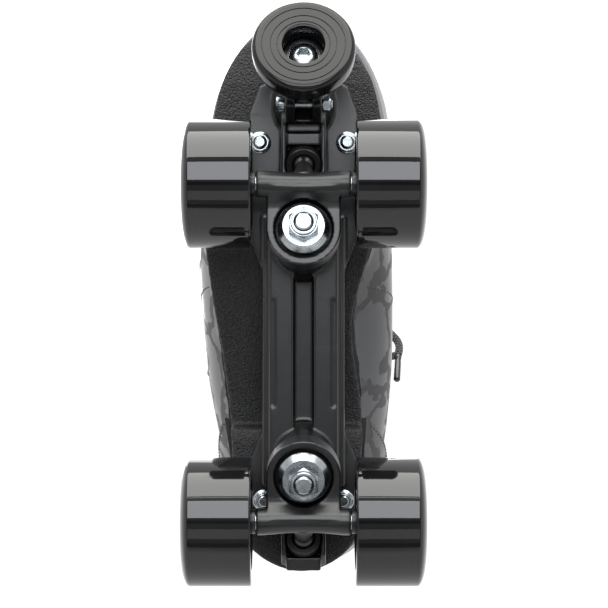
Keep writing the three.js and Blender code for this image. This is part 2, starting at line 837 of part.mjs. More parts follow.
// The sole's outline as [x, y], from the toe round the outer side to the heel and back up the arch side.
const SOLE_OUTLINE = [
  [2, 158.5],
  [24, 148],
  [37, 130],
  [43.5, 104],
  [47.5, 66],
  [43.6, 28],
  [38.4, -3],
  [34.5, -36],
  [32.5, -60],
  [26, -92],
  [0.5, -104.4],
  [-23.5, -91],
  [-26.6, -60],
  [-27.6, -28],
  [-22.8, 12],
  [-31, 46],
  [-38.5, 76],
  [-36.5, 110],
  [-27, 137],
];
const soleTop = through([
  [-104, 23.5],
  [-55, 23],
  [-30, 20.5],
  [0, 14],
  [30, 9],
  [60, 7],
  [125, 7.5],
  [160, 11],
]);
const ARCH_START = 46;
const HEEL_BREAST = -37;

function yzCurve(f, from, to, steps) {
  return Array.from({ length: steps + 1 }, (_, i) => {
    const y = from + ((to - from) * i) / steps;
    return [y, f(y)];
  });
}

// The sole's top edge, raised by a clearance, from ahead of the toe to behind the heel.
function soleLine(clearance) {
  return yzCurve((y) => soleTop(y) + clearance, AHEAD, BEHIND, 20);
}

function underSoleLine(clearance) {
  return solid(sideways([[BEHIND, BELOW], [AHEAD, BELOW], ...soleLine(clearance)], SIDE_REACH));
}

function soleBody() {
  const curve = new THREE.CatmullRomCurve3(
    SOLE_OUTLINE.map(([x, y]) => new THREE.Vector3(x, y, 0)),
    true,
  );
  const outline = curve.getPoints(57).slice(0, -1).map((p) => [p.x, p.y]);
  const column = solid(prism(outline.reverse(), -1, BOOT.heelHeight * 2));
  const archBottom = through([
    [HEEL_BREAST, 14.5],
    [-20, 12.8],
    [0, 8.6],
    [22, 3.4],
    [ARCH_START, 0],
  ]);
  const bottom = [
    [BEHIND, 0],
    [HEEL_BREAST - 4, 0],
    ...yzCurve(archBottom, HEEL_BREAST, ARCH_START, 8),
    [126, 0],
    [145, 1.6],
    [AHEAD, 6],
  ].map(([y, z]) => [y, z + GAP]);
  const slab = solid(sideways([...bottom, ...soleLine(GAP)], SIDE_REACH));
  return soleBoltHoles().reduce((body, hole) => body.subtract(hole), column.intersect(slab));
}

// ---------------------------------------------------------------- the boot's last

// The boot is drawn with its heights measured from the plate's top face.
// Front and back of the foot's outside at a height, and how long the front's rounding is there.
const front = through([
  [3, 156.5],
  [17, 159.5],
  [29, 157],
  [38, 150],
  [44, 140],
  [50, 122],
  [56, 98],
  [64, 74],
  [75, 52],
  [91, 29],
  [109, 13],
  [129, 4],
  [147, 0],
  [175, -5],
  [205, -10],
]);
const back = through([
  [3, -98],
  [23, -101],
  [43, -104.6],
  [65, -103.5],
  [90, -98.5],
  [115, -97],
  [140, -99],
  [175, -102],
  [205, -104],
]);
const frontRound = through([
  [3, 62],
  [29, 64],
  [37, 85],
  [44, 108],
  [60, 112],
  [75, 98],
  [91, 76],
  [109, 56],
  [129, 47],
  [175, 43],
  [205, 43],
]);
// Half-widths in plan: the widest that the upper gets, and the sole's edge, on the outer and the arch side.
const widest = {
  outer: through([
    [-104, 37.5],
    [-68, 37.5],
    [-50, 40],
    [-32, 43.5],
    [-18, 46],
    [12, 48.6],
    [47, 51],
    [62, 50.4],
    [82, 47],
    [97, 44.5],
    [160, 44],
  ]),
  arch: through([
    [-104, 37.5],
    [-68, 38],
    [-50, 39.3],
    [-35, 41.2],
    [-6, 43.3],
    [47, 43],
    [80, 42],
    [97, 41],
    [160, 41],
  ]),
};
const tuck = {
  outer: through([
    [-104, 5],
    [-50, 7],
    [-18, 9],
    [12, 8],
    [47, 5],
    [70, 2],
    [97, 1],
    [160, 1],
  ]),
  arch: through([
    [-104, 8],
    [-50, 12.8],
    [-18, 16],
    [12, 20.5],
    [32, 17.5],
    [47, 11.5],
    [75, 4],
    [97, 3],
    [160, 4],
  ]),
};
const narrowing = through([
  [3, 1],
  [55, 1],
  [75, 0.98],
  [100, 0.98],
  [130, 0.96],
  [157, 1],
  [205, 1.04],
]);

function rounding(distance, length) {
  const t = Math.min(Math.max(distance / length, 0), 1);
  return Math.sqrt(1 - (1 - t) * (1 - t));
}

// The slope of the boot's front line at a height, as the two parts of its outward normal.
function frontNormal(z) {
  const slope = (front(z + 0.5) - front(z - 0.5)) / 1;
  const size = Math.hypot(1, slope);
  return { y: 1 / size, z: -slope / size };
}

// A level of the last: a horizontal loop whose front lies on the boot's front line, moved inwards by inset.
function level(height, inset) {
  const normal = frontNormal(height);
  const z = height - inset * normal.z;
  const foremost = front(height) - inset * normal.y;
  const rearmost = back(z) + inset;
  const long = frontRound(height) - inset;
  const halfWidth = (side, y) => {
    const low = Math.min(Math.max((z - soleTop(y)) / BOOT.bulgeHeight, 0), 1);
    const full = widest[side](y) * narrowing(z) - tuck[side](y) * (1 - low) * (1 - low) - inset;
    return full * rounding(foremost - y, long) * rounding(y - rearmost, BOOT.heelRound - inset);
  };
  return { z, foremost, rearmost, long, halfWidth };
}

const SIDE_STEPS = 11;

function loop(height, inset) {
  const { z, foremost, rearmost, halfWidth } = level(height, inset);
  const ys = Array.from({ length: SIDE_STEPS + 1 }, (_, i) => {
    const share = (1 - Math.cos((Math.PI * i) / SIDE_STEPS)) / 2;
    return foremost + (rearmost - foremost) * share;
  });
  const outer = ys.map((y) => [halfWidth("outer", y), y, z]);
  const arch = ys.slice(1, -1).map((y) => [-halfWidth("arch", y), y, z]);
  return [...outer, ...arch.reverse()];
}

// Levels evenly spaced along the boot's front line, from the sole to the given height.
function levels(to, count) {
  const from = 3;
  const samples = Array.from({ length: 401 }, (_, i) => from + ((to - from) * i) / 400);
  const along = [0];
  for (let i = 1; i < samples.length; i += 1) {
    const step = Math.hypot(samples[i] - samples[i - 1], front(samples[i]) - front(samples[i - 1]));
    along.push(along[i - 1] + step);
  }
  const total = along[along.length - 1];
  return Array.from({ length: count + 1 }, (_, k) => {
    const i = along.findIndex((a) => a >= (total * k) / count - 1e-9);
    return samples[i];
  });
}

const LEVELS = levels(BOOT.top + 14, 16);

// The last as a solid, smaller than the boot's outside by inset all round.
function lastBody(inset) {
  const loops = LEVELS.map((height) => loop(height, inset));
  const around = loops[0].length;
  const position = loops.flat(2);
  const index = [];
  for (let k = 0; k + 1 < loops.length; k += 1) {
    for (let i = 0; i < around; i += 1) {
      const a = k * around + i;
      const b = k * around + ((i + 1) % around);
      index.push(a, a + around, b, b, a + around, b + around);
    }
  }
  const lid = (start, up) => {
    // Strips across the loop, from the toe to the heel.
    for (let i = 0; i < SIDE_STEPS; i += 1) {
      const right = [start + i, start + i + 1];
      const left = [start + ((around - i) % around), start + around - i - 1];
      const quads = [
        [right[0], left[0], left[1]],
        [right[0], left[1], right[1]],
      ];
      for (const [a, b, c] of quads) {
        if (a === b || b === c || a === c) continue;
        index.push(...(up ? [a, b, c] : [a, c, b]));
      }
    }
  };
  lid(0, false);
  lid((loops.length - 1) * around, true);
  const geometry = new THREE.BufferGeometry();
  geometry.setAttribute("position", new THREE.Float32BufferAttribute(position, 3));
  geometry.setIndex(index);
  return solid(geometry);
}

// ---------------------------------------------------------------- boot

const collarLine = through([
  [-110, 158],
  [-85, 154],
  [-55, 147],
  [-25, 151],
  [0, 161],
  [30, 163],
]);

function above(f, clearance, from, to) {
  const line = yzCurve((y) => f(y) + clearance, from, to, 16);
  return solid(sideways([...line, [to, ABOVE], [from, ABOVE]], SIDE_REACH));
}

// The throat's half-width at each [half-width, y], from its end over the toes back past the collar.
const THROAT_BASE = 50;
const THROAT = [
  [10, 60],
  [12.5, 30],
  [14, 0],
  [14, -30],
];

// The slot that the tongue fills, with a round end towards the toe.
function throatCutter() {
  const [end, ...rest] = THROAT;
  const plan = new THREE.Shape();
  plan.absarc(0, end[1], end[0], 0, Math.PI, false);
  rest.forEach(([x, y]) => plan.lineTo(-x, y));
  [...rest].reverse().forEach(([x, y]) => plan.lineTo(x, y));
  return solid(prism(plan, THROAT_BASE, ABOVE));
}

function upperBody() {
  return lastBody(0)
    .subtract(lastBody(BOOT.wall))
    .subtract(underSoleLine(2 * GAP))
    .subtract(above(collarLine, 0, BEHIND, AHEAD))
    .subtract(throatCutter());
}

function shell(from, to) {
  return lastBody(from).subtract(lastBody(to));
}

function tongueBody() {
  const inside = BOOT.wall + GAP;
  const half = BOOT.tongueHalfWidth;
  const plan = mirrored([
    [half, BOOT.tongueBack],
    [half, BOOT.tongueFront - half],
    [half * 0.72, BOOT.tongueFront],
  ]);
  const region = solid(prism(plan, THROAT_BASE - 10, BOOT.top));
  return shell(inside, inside + BOOT.tongue).intersect(region);
}

function collarPadBody() {
  const inside = BOOT.wall + GAP;
  const low = box(-SIDE_REACH, SIDE_REACH, BEHIND, AHEAD, BELOW, BOOT.collarPadFrom);
  const ahead = box(-SIDE_REACH, SIDE_REACH, BOOT.tongueBack - GAP, AHEAD, BELOW, ABOVE);
  return shell(inside, inside + BOOT.collarPad)
    .subtract(solid(low))
    .subtract(solid(ahead))
    .subtract(above(collarLine, -1, BEHIND, AHEAD));
}

const COUNTER_FRONT = -31.5;

function counterBody() {
  const edge = through([
    [-140, 75],
    [-90, 71],
    [-60, 53],
    [-38, 29],
    [-30, 17],
  ]);
  return shell(-GAP - BOOT.counter, -GAP)
    .subtract(underSoleLine(2 * GAP))
    .subtract(above(edge, 0, BEHIND, COUNTER_FRONT + 1))
    .subtract(solid(box(-SIDE_REACH, SIDE_REACH, COUNTER_FRONT, AHEAD, BELOW, ABOVE)));
}

function footbedBody() {
  const bed = lastBody(BOOT.wall + GAP)
    .intersect(underSoleLine(2 * GAP + BOOT.footbed))
    .subtract(underSoleLine(2 * GAP));
  return soleBoltHoles().reduce((body, hole) => body.subtract(hole), bed);
}

const boot = placed("boot", at(0, 0, SOLE_HEIGHT));
boot.add(mesh("outsole", soleBody(), SOLE_RUBBER));
boot.add(mesh("footbed", footbedBody(), LINING));
boot.add(mesh("boot_upper", upperBody(), VINYL));
boot.add(mesh("tongue", tongueBody(), VINYL));
boot.add(mesh("collar_pad", collarPadBody(), LINING));
boot.add(mesh("heel_counter", counterBody(), VINYL));
skate.add(boot);

// ---------------------------------------------------------------- sole bolts and nuts

function addSoleBolts() {
  const radius = SOLE_BOLT.diameter / 2;
  const plateUnder = SOLE_HEIGHT - PLATE.thickness - GAP;
  const nutBottom = plateUnder - SOLE_BOLT.flangeHeight - SOLE_BOLT.nutHeight;
  for (const [name, [x, y]] of Object.entries(soleBoltPlaces())) {
    const underHead = SOLE_HEIGHT + soleTop(y) + 2 * GAP + BOOT.footbed + 2 * GAP;
    const bolt = turned(
      [
        [0, nutBottom - SOLE_BOLT.tip],
        [radius, nutBottom - SOLE_BOLT.tip],
        [radius, underHead],
        [SOLE_BOLT.head / 2, underHead],
        [SOLE_BOLT.head / 3, underHead + SOLE_BOLT.headHeight],
        [0, underHead + SOLE_BOLT.headHeight],
      ],
      12,
    );
    const flangeFrom = plateUnder - SOLE_BOLT.flangeHeight;
    const nut = solid(prism(hexagon(SOLE_BOLT.nutAcrossFlats), nutBottom, plateUnder))
      .add(solid(rod(SOLE_BOLT.flange / 2, flangeFrom, plateUnder, 16)))
      .subtract(solid(rod(radius + GAP, nutBottom - 1, plateUnder + 1, 12)));
    const place = placed(`${name}_sole_fixing`, at(x, y, 0));
    place.add(mesh(`${name}_sole_bolt`, solid(bolt), ZINC), mesh(`${name}_sole_nut`, nut, ZINC));
    skate.add(place);
  }
}

addSoleBolts();

// ---------------------------------------------------------------- laces

const EYELET_FROM = 68;
const EYELET_TO = 138;

// The middle of the lace where it meets an eyelet, lifted off the upper.
function eyelet(row, side) {
  const samples = levels(EYELET_TO, 200).filter((z) => z >= EYELET_FROM);
  const z = samples[Math.round(((samples.length - 1) * row) / (LACE.rows - 1))];
  const { long, foremost, halfWidth } = level(z, 0);
  const name = side > 0 ? "outer" : "arch";
  const share = Math.min(LACE.eyeletX / widest[name](foremost - 20), 1);
  const y = foremost - long * (1 - Math.sqrt(1 - share * share));
  const x = side * halfWidth(name, y);
  const normal = frontNormal(z);
  const lean = 0.5;
  const size = Math.hypot(lean, 1);
  return new THREE.Vector3(
    x + (side * lean * LACE.lift) / size,
    y + (normal.y * LACE.lift) / size,
    z + (normal.z * LACE.lift) / size,
  );
}

function laceSpan(a, b) {
  const middle = a.clone().add(b).multiplyScalar(0.5);
  const normal = frontNormal(middle.z);
  middle.y += normal.y * LACE.arch;
  middle.z += normal.z * LACE.arch;
  return tube([a.toArray(), middle.toArray(), b.toArray()], LACE.diameter / 2, 2);
}

function lacingBody() {
  const rows = Array.from({ length: LACE.rows }, (_, i) => ({
    right: eyelet(i, 1),
    left: eyelet(i, -1),
  }));
  const spans = [laceSpan(rows[0].left, rows[0].right)];
  for (let i = 0; i + 1 < LACE.rows; i += 1) {
    spans.push(laceSpan(rows[i].left, rows[i + 1].right));
    spans.push(laceSpan(rows[i].right, rows[i + 1].left));
  }
  const top = rows[LACE.rows - 1];
  spans.push(laceSpan(top.left, top.right));
  const knotAt = top.left.clone().add(top.right).multiplyScalar(0.5);
  const knot = new THREE.SphereGeometry(LACE.knot / 2, 10, 6).scale(1, 0.85, 0.85);
  return {
    knotAt: knotAt.add(new THREE.Vector3(0, LACE.knotOut, 0)),
    body: (place) => union([...spans.map((s) => solid(s)), solid(knot, place)]),
  };
}

const lacing = lacingBody();
const knot = lacing.knotAt;
boot.add(mesh("lacing", lacing.body(at(knot.x, knot.y, knot.z)), LACE_CLOTH));

// Routes of the bow's loops and free ends, as [x, y, z] from the knot's middle.
const BOW = {
  left: {
    loop: [
      [-6.3, 1.1, 1.5],
      [-14, 3, 4],
      [-24, 3.5, 4],
      [-34, 2, -1],
      [-42.5, -1.5, -9],
      [-48, -6, -19],
      [-50, -11, -29],
      [-47.5, -15, -38],
      [-40.5, -14.5, -41],
      [-34.5, -10.5, -36],
      [-30, -6, -28],
      [-25, -2, -19],
      [-18, 0.5, -11],
      [-11, 1.2, -6],
      [-6.2, 0.6, -3.2],
    ],
    end: [
      [-3.8, 4.9, -2.8],
      [-12, 8, -9],
      [-21, 8.5, -18],
      [-30, 6, -28],
      [-38.5, 1, -37],
      [-45, -3.5, -43],
      [-49, -9, -47.5],
      [-48.5, -14.5, -52],
    ],
  },
  right: {
    loop: [
      [6.3, 1.1, 1.5],
      [14, 3.5, 4],
      [24, 3.5, 3.5],
      [34, 0, -2],
      [41, -6, -10],
      [45.5, -13.5, -19],
      [47.5, -21, -28.5],
      [47.5, -24, -38],
      [45, -19, -43.5],
      [41.5, -11.5, -41],
      [38, -6.5, -33],
      [33, -2.5, -24],
      [26, 0, -15.5],
      [16, 1.2, -8.5],
      [6.2, 0.6, -3.2],
    ],
    end: [
      [3.8, 4.9, -2.8],
      [12, 8, -8],
      [20, 8.5, -16],
      [28, 5.5, -26],
      [34, 1, -36],
      [38.5, -4, -47],
    ],
  },
};

const bow = placed("bow", at(0, 0, SOLE_HEIGHT));
skate.add(bow);

function addBow() {
  const radius = LACE.diameter / 2;
  for (const [name, { loop: loopRoute, end }] of Object.entries(BOW)) {
    const place = (route) => route.map(([x, y, z]) => [knot.x + x, knot.y + y, knot.z + z]);
    const loopTube = tube(place(loopRoute), radius, 16);
    bow.add(mesh(`lace_loop_${name}`, solid(loopTube), LACE_CLOTH));
    bow.add(mesh(`lace_end_${name}`, solid(tube(place(end), radius, 8)), LACE_CLOTH));
    const [before, last] = place(end).slice(-2).map((p) => new THREE.Vector3(...p));
    const along = last.clone().sub(before).normalize();
    const tip = solid(rod(LACE.tip / 2, 0, LACE.tipLength, 10));
    const aglet = mesh(`aglet_${name}`, tip, LACE_TIP);
    aglet.quaternion.setFromUnitVectors(new THREE.Vector3(0, 0, 1), along);
    aglet.position.copy(last).addScaledVector(along, GAP);
    bow.add(aglet);
  }
}

addBow();

// ---------------------------------------------------------------- origin

// The skate's own frame has its origin under the middle of its overall box, and the bow isn't counted.
const whole = new THREE.Box3();
skate.children.filter((child) => child !== bow).forEach((child) => whole.expandByObject(child));
skate.position.y = -(whole.min.y + whole.max.y) / 2;
skate.name = "quad_roller_skate";

export default skate;
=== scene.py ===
import json
import math
import bpy
from mathutils import Matrix, Vector


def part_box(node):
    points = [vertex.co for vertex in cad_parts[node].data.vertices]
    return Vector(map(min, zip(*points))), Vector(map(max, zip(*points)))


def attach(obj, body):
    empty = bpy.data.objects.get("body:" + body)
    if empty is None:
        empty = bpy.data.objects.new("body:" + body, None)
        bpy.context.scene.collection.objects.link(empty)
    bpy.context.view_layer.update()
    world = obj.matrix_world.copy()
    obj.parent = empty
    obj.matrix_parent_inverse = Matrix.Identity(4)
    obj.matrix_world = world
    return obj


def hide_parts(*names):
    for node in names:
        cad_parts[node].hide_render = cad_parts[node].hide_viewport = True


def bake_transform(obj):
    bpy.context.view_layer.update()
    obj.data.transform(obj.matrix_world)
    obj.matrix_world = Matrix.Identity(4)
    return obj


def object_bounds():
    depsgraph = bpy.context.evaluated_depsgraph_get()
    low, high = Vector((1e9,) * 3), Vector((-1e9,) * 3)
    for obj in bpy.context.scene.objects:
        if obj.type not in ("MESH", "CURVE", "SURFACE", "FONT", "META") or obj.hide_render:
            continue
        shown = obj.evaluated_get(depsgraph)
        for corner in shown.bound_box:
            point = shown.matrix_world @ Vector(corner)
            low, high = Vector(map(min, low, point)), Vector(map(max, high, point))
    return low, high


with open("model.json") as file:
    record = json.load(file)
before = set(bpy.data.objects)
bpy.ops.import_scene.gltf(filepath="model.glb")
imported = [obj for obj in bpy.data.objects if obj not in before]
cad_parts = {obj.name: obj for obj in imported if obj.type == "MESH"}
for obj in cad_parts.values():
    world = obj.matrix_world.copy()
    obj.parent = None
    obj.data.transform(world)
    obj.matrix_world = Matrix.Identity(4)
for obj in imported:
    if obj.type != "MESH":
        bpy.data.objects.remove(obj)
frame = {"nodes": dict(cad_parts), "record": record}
cad_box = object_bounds()
MM = 0.001

# ---------------------------------------------------------------- camera and studio
# A long lens looks straight up at the running gear. Broad soft lights hang ahead of the toe and
# behind the camera, with dark flags between them that the glossy wheels mirror as bands.
camera_data = bpy.data.cameras.new("camera")
camera_data.lens = 131.2
camera_data.sensor_width = 36
camera = bpy.data.objects.new("camera", camera_data)
camera.location = (-0.0002, -0.0042, -0.971)
camera.rotation_euler = (0, math.pi, 0)
bpy.context.scene.collection.objects.link(camera)
bpy.context.scene.camera = camera


def aim(place, target=(0, 0, 0.05)):
    toward = Vector(target) - Vector(place)
    return Matrix.Translation(place) @ toward.to_track_quat("-Z", "X").to_matrix().to_4x4()


def softbox(name, place, size, radiance, color=(1, 1, 1)):
    data = bpy.data.lights.new(name, "AREA")
    data.shape = "RECTANGLE"
    data.size, data.size_y = size
    data.energy = radiance * math.pi * size[0] * size[1]
    data.color = color
    light = bpy.data.objects.new(name, data)
    light.matrix_world = aim(place)
    light.visible_camera = False
    bpy.context.scene.collection.objects.link(light)


softbox("overhead_light", (0, 1.16, -0.29), (1.35, 1.7), 5.6, (1.0, 0.99, 0.95))
softbox("camera_light", (0, 0.42, -0.98), (0.62, 0.75), 6.2, (0.93, 0.96, 1.0))
softbox("top_light", (0.3, 0.5, 1.5), (1.0, 1.0), 3.0)

world = bpy.data.worlds.new("studio")
bpy.context.scene.world = world
world.use_nodes = True
surroundings = world.node_tree.nodes["Background"]
surroundings.inputs["Color"].default_value = (1, 1, 1, 1)
# White to the camera. To the skate it is white all round and above, and dim below the floor.
tree = world.node_tree
seen = tree.nodes.new("ShaderNodeLightPath")
toward = tree.nodes.new("ShaderNodeTexCoord")
split = tree.nodes.new("ShaderNodeSeparateXYZ")
glow = tree.nodes.new("ShaderNodeMapRange")
glow.inputs["From Min"].default_value = -0.8
glow.inputs["From Max"].default_value = -0.6
glow.inputs["To Min"].default_value = 0.25
glow.inputs["To Max"].default_value = 1.1
brightness = tree.nodes.new("ShaderNodeMath")
brightness.operation = "MAXIMUM"
tree.links.new(toward.outputs["Generated"], split.inputs["Vector"])
tree.links.new(split.outputs["Z"], glow.inputs["Value"])
tree.links.new(seen.outputs["Is Camera Ray"], brightness.inputs[0])
tree.links.new(glow.outputs["Result"], brightness.inputs[1])
tree.links.new(brightness.outputs[0], surroundings.inputs["Strength"])
bpy.context.scene.view_settings.view_transform = "Standard"


def flag(name, place, size, radiance):
    bpy.ops.object.select_all(action="DESELECT")
    bpy.ops.mesh.primitive_plane_add(size=1)
    card = bpy.context.object
    card.name = name
    card.scale = (size[0], size[1], 1)
    bpy.ops.object.transform_apply(location=False, rotation=False, scale=True)
    card.data.transform(aim(place))
    paper = bpy.data.materials.new(name)
    paper.use_nodes = True
    paper.node_tree.nodes.clear()
    glow = paper.node_tree.nodes.new("ShaderNodeEmission")
    glow.inputs["Color"].default_value = (radiance, radiance, radiance, 1)
    out = paper.node_tree.nodes.new("ShaderNodeOutputMaterial")
    paper.node_tree.links.new(glow.outputs[0], out.inputs["Surface"])
    card.data.materials.append(paper)
    card.visible_camera = False
    card.visible_diffuse = False
    card.visible_shadow = False
    card.visible_transmission = False


flag("lens_flag", (0, 0.0, -1.25), (0.13, 1.8), 0.02)
flag("band_flag", (0, 0.78, -0.72), (0.035, 1.8), 0.02)
flag("lower_flag", (0, -0.42, -1.05), (0.34, 0.9), 0.95)
flag("floor_flag", (0, -0.78, -0.88), (0.16, 1.7), 0.1)


# The floor under the wheels and the wall behind the heel are plain pale paper. Each shows only to
# the camera and only from its own front, so that the view from below looks through the floor.
def paper_sweep(name, corners, fade):
    bpy.ops.object.select_all(action="DESELECT")
    bpy.ops.mesh.primitive_plane_add(size=1)
    sheet = bpy.context.object
    sheet.name = name
    for vertex, corner in zip(sheet.data.vertices, corners):
        vertex.co = corner
    paper = bpy.data.materials.new(name)
    paper.use_nodes = True
    tree = paper.node_tree
    tree.nodes.clear()
    out = tree.nodes.new("ShaderNodeOutputMaterial")
    mix = tree.nodes.new("ShaderNodeMixShader")
    clear = tree.nodes.new("ShaderNodeBsdfTransparent")
    white = tree.nodes.new("ShaderNodeBsdfDiffuse")
    white.inputs["Color"].default_value = (0.9, 0.9, 0.9, 1)
    path = tree.nodes.new("ShaderNodeLightPath")
    geometry = tree.nodes.new("ShaderNodeNewGeometry")
    front = tree.nodes.new("ShaderNodeMath")
    front.operation = "SUBTRACT"
    front.inputs[0].default_value = 1
    shown = tree.nodes.new("ShaderNodeMath")
    shown.operation = "MULTIPLY"
    coordinates = tree.nodes.new("ShaderNodeTexCoord")
    distance = tree.nodes.new("ShaderNodeVectorMath")
    distance.operation = "LENGTH"
    ramp = tree.nodes.new("ShaderNodeMapRange")
    ramp.inputs["From Min"].default_value = fade[0]
    ramp.inputs["From Max"].default_value = fade[1]
    ramp.inputs["To Min"].default_value = 1
    ramp.inputs["To Max"].default_value = 0
    faded = tree.nodes.new("ShaderNodeMath")
    faded.operation = "MULTIPLY"
    tree.links.new(geometry.outputs["Backfacing"], front.inputs[1])
    tree.links.new(front.outputs[0], shown.inputs[0])
    tree.links.new(path.outputs["Is Camera Ray"], shown.inputs[1])
    tree.links.new(coordinates.outputs["Object"], distance.inputs[0])
    tree.links.new(distance.outputs["Value"], ramp.inputs["Value"])
    tree.links.new(shown.outputs[0], faded.inputs[0])
    tree.links.new(ramp.outputs["Result"], faded.inputs[1])
    tree.links.new(faded.outputs[0], mix.inputs["Fac"])
    tree.links.new(clear.outputs[0], mix.inputs[1])
    tree.links.new(white.outputs[0], mix.inputs[2])
    tree.links.new(mix.outputs[0], out.inputs["Surface"])
    sheet.data.materials.append(paper)


heel_y = cad_box[0][1]
paper_sweep("floor", [(-3, -3, 0), (3, -3, 0), (-3, 3, 0), (3, 3, 0)], (0.6, 2.2))
paper_sweep(
    "standing_wall",
    [(0.5, heel_y, -0.3), (-0.5, heel_y, -0.3), (0.5, heel_y, 0), (-0.5, heel_y, 0)],
    (0.16, 0.3),
)

# ---------------------------------------------------------------- bow
# The lace is a round braided cotton cord, tied in a bow above the tongue. Its two loops and two
# ends hang down beside the boot, and each end is gripped by a hard plastic tip.

lace_radius = 2
# The knot's middle, on the tongue. The bow's routes start from it, in millimetres.
knot = Vector((0.155, -15.89, 213.611)) * MM
bow = {
    "left": {
        "loop": [
            (-6.3, 1.1, 1.5),
            (-14, 3, 4),
            (-24, 3.5, 4),
            (-34, 2, -1),
            (-42.5, -1.5, -9),
            (-48, -6, -19),
            (-50, -11, -29),
            (-47.5, -15, -38),
            (-40.5, -14.5, -41),
            (-34.5, -10.5, -36),
            (-30, -6, -28),
            (-25, -2, -19),
            (-18, 0.5, -11),
            (-11, 1.2, -6),
            (-6.2, 0.6, -3.2),
        ],
        "end": [
            (-3.8, 4.9, -2.8),
            (-12, 8, -9),
            (-21, 8.5, -18),
            (-30, 6, -28),
            (-38.5, 1, -37),
            (-45, -3.5, -43),
            (-49, -9, -47.5),
            (-48.5, -14.5, -52),
        ],
    },
    "right": {
        "loop": [
            (6.3, 1.1, 1.5),
            (14, 3.5, 4),
            (24, 3.5, 3.5),
            (34, 0, -2),
            (41, -6, -10),
            (45.5, -13.5, -19),
            (47.5, -21, -28.5),
            (47.5, -24, -38),
            (45, -19, -43.5),
            (41.5, -11.5, -41),
            (38, -6.5, -33),
            (33, -2.5, -24),
            (26, 0, -15.5),
            (16, 1.2, -8.5),
            (6.2, 0.6, -3.2),
        ],
        "end": [
            (3.8, 4.9, -2.8),
            (12, 8, -8),
            (20, 8.5, -16),
            (28, 5.5, -26),
            (34, 1, -36),
            (38.5, -4, -47),
        ],
    },
}

braid = bpy.data.materials.new("lace_braid")
braid.use_nodes = True
tree = braid.node_tree
shader = tree.nodes["Principled BSDF"]
shader.inputs["Roughness"].default_value = 0.8
shader.inputs["Sheen Weight"].default_value = 0.3
weave_map = tree.nodes.new("ShaderNodeUVMap")
split = tree.nodes.new("ShaderNodeSeparateXYZ")
tree.links.new(weave_map.outputs["UV"], split.inputs["Vector"])
strands = []
for way in (1, -1):
    # One family of strands winds each way round the cord.
    angle = tree.nodes.new("ShaderNodeMath")
    angle.operation = "MULTIPLY_ADD"
    angle.inputs[1].default_value = way * 8 * math.pi
    along_lace = tree.nodes.new("ShaderNodeMath")
    along_lace.operation = "MULTIPLY"
    along_lace.inputs[1].default_value = 2.4
    wave = tree.nodes.new("ShaderNodeMath")
    wave.operation = "SINE"
    tree.links.new(split.outputs["Y"], angle.inputs[0])
    tree.links.new(split.outputs["X"], along_lace.inputs[0])
    tree.links.new(along_lace.outputs[0], angle.inputs[2])
    tree.links.new(angle.outputs[0], wave.inputs[0])
    strands.append(wave)
crossed = tree.nodes.new("ShaderNodeMath")
crossed.operation = "MAXIMUM"
relief = tree.nodes.new("ShaderNodeBump")
relief.inputs["Distance"].default_value = 0.35 * MM
# The braid's colour follows the same strand heights as its bump, so the grooves between strands are painted
# darker: painted shade.
tint = tree.nodes.new("ShaderNodeValToRGB")
tint.color_ramp.elements[0].color = (0.006, 0.006, 0.0065, 1)
tint.color_ramp.elements[1].color = (0.022, 0.022, 0.024, 1)
tree.links.new(strands[0].outputs[0], crossed.inputs[0])
tree.links.new(strands[1].outputs[0], crossed.inputs[1])
tree.links.new(crossed.outputs[0], relief.inputs["Height"])
tree.links.new(crossed.outputs[0], tint.inputs["Fac"])
tree.links.new(relief.outputs["Normal"], shader.inputs["Normal"])
tree.links.new(tint.outputs["Color"], shader.inputs["Base Color"])


# A length of lace through points in metres, whose UV runs in millimetres along it and once round.
def braided_lace(name, route):
    line = bpy.data.curves.new(name, "CURVE")
    line.dimensions = "3D"
    line.resolution_u = 8
    line.bevel_depth = lace_radius * MM
    line.bevel_resolution = 4
    line.use_fill_caps = True
    spline = line.splines.new("BEZIER")
    spline.bezier_points.add(len(route) - 1)
    for point, place in zip(spline.bezier_points, route):
        point.co = place
        point.handle_left_type = "AUTO"
        point.handle_right_type = "AUTO"
    lace = bpy.data.objects.new(name, line)
    bpy.context.scene.collection.objects.link(lace)
    length = spline.calc_length() / MM
    bpy.ops.object.select_all(action="DESELECT")
    lace.select_set(True)
    bpy.context.view_layer.objects.active = lace
    bpy.ops.object.convert(target="MESH")
    for corner in lace.data.uv_layers[0].data:
        corner.uv = (corner.uv.x * length, corner.uv.y)
    for polygon in lace.data.polygons:
        polygon.use_smooth = len(polygon.vertices) == 4
    lace["length_mm"] = length
    return lace


def soften(outline, radius, steps=3):
    # Rounds every corner of a closed outline that doesn't lie on the axis.
    rounded = []
    for i, corner in enumerate(outline):
        here = Vector(corner)
        before = Vector(outline[i - 1]) - here
        after = Vector(outline[(i + 1) % len(outline)]) - here
        reach = min(radius, before.length * 0.45, after.length * 0.45)
        if corner[0] == 0 or reach < 0.02:
            rounded.append(tuple(here))
            continue
        start = here + before.normalized() * reach
        end = here + after.normalized() * reach
        for k in range(steps + 1):
            t = k / steps
            rounded.append(tuple(start * (1 - t) ** 2 + here * 2 * t * (1 - t) + end * t * t))
    return rounded


def shade(piece, degrees=35):
    bpy.ops.object.select_all(action="DESELECT")
    piece.select_set(True)
    bpy.context.view_layer.objects.active = piece
    bpy.ops.object.shade_smooth_by_angle(angle=math.radians(degrees))


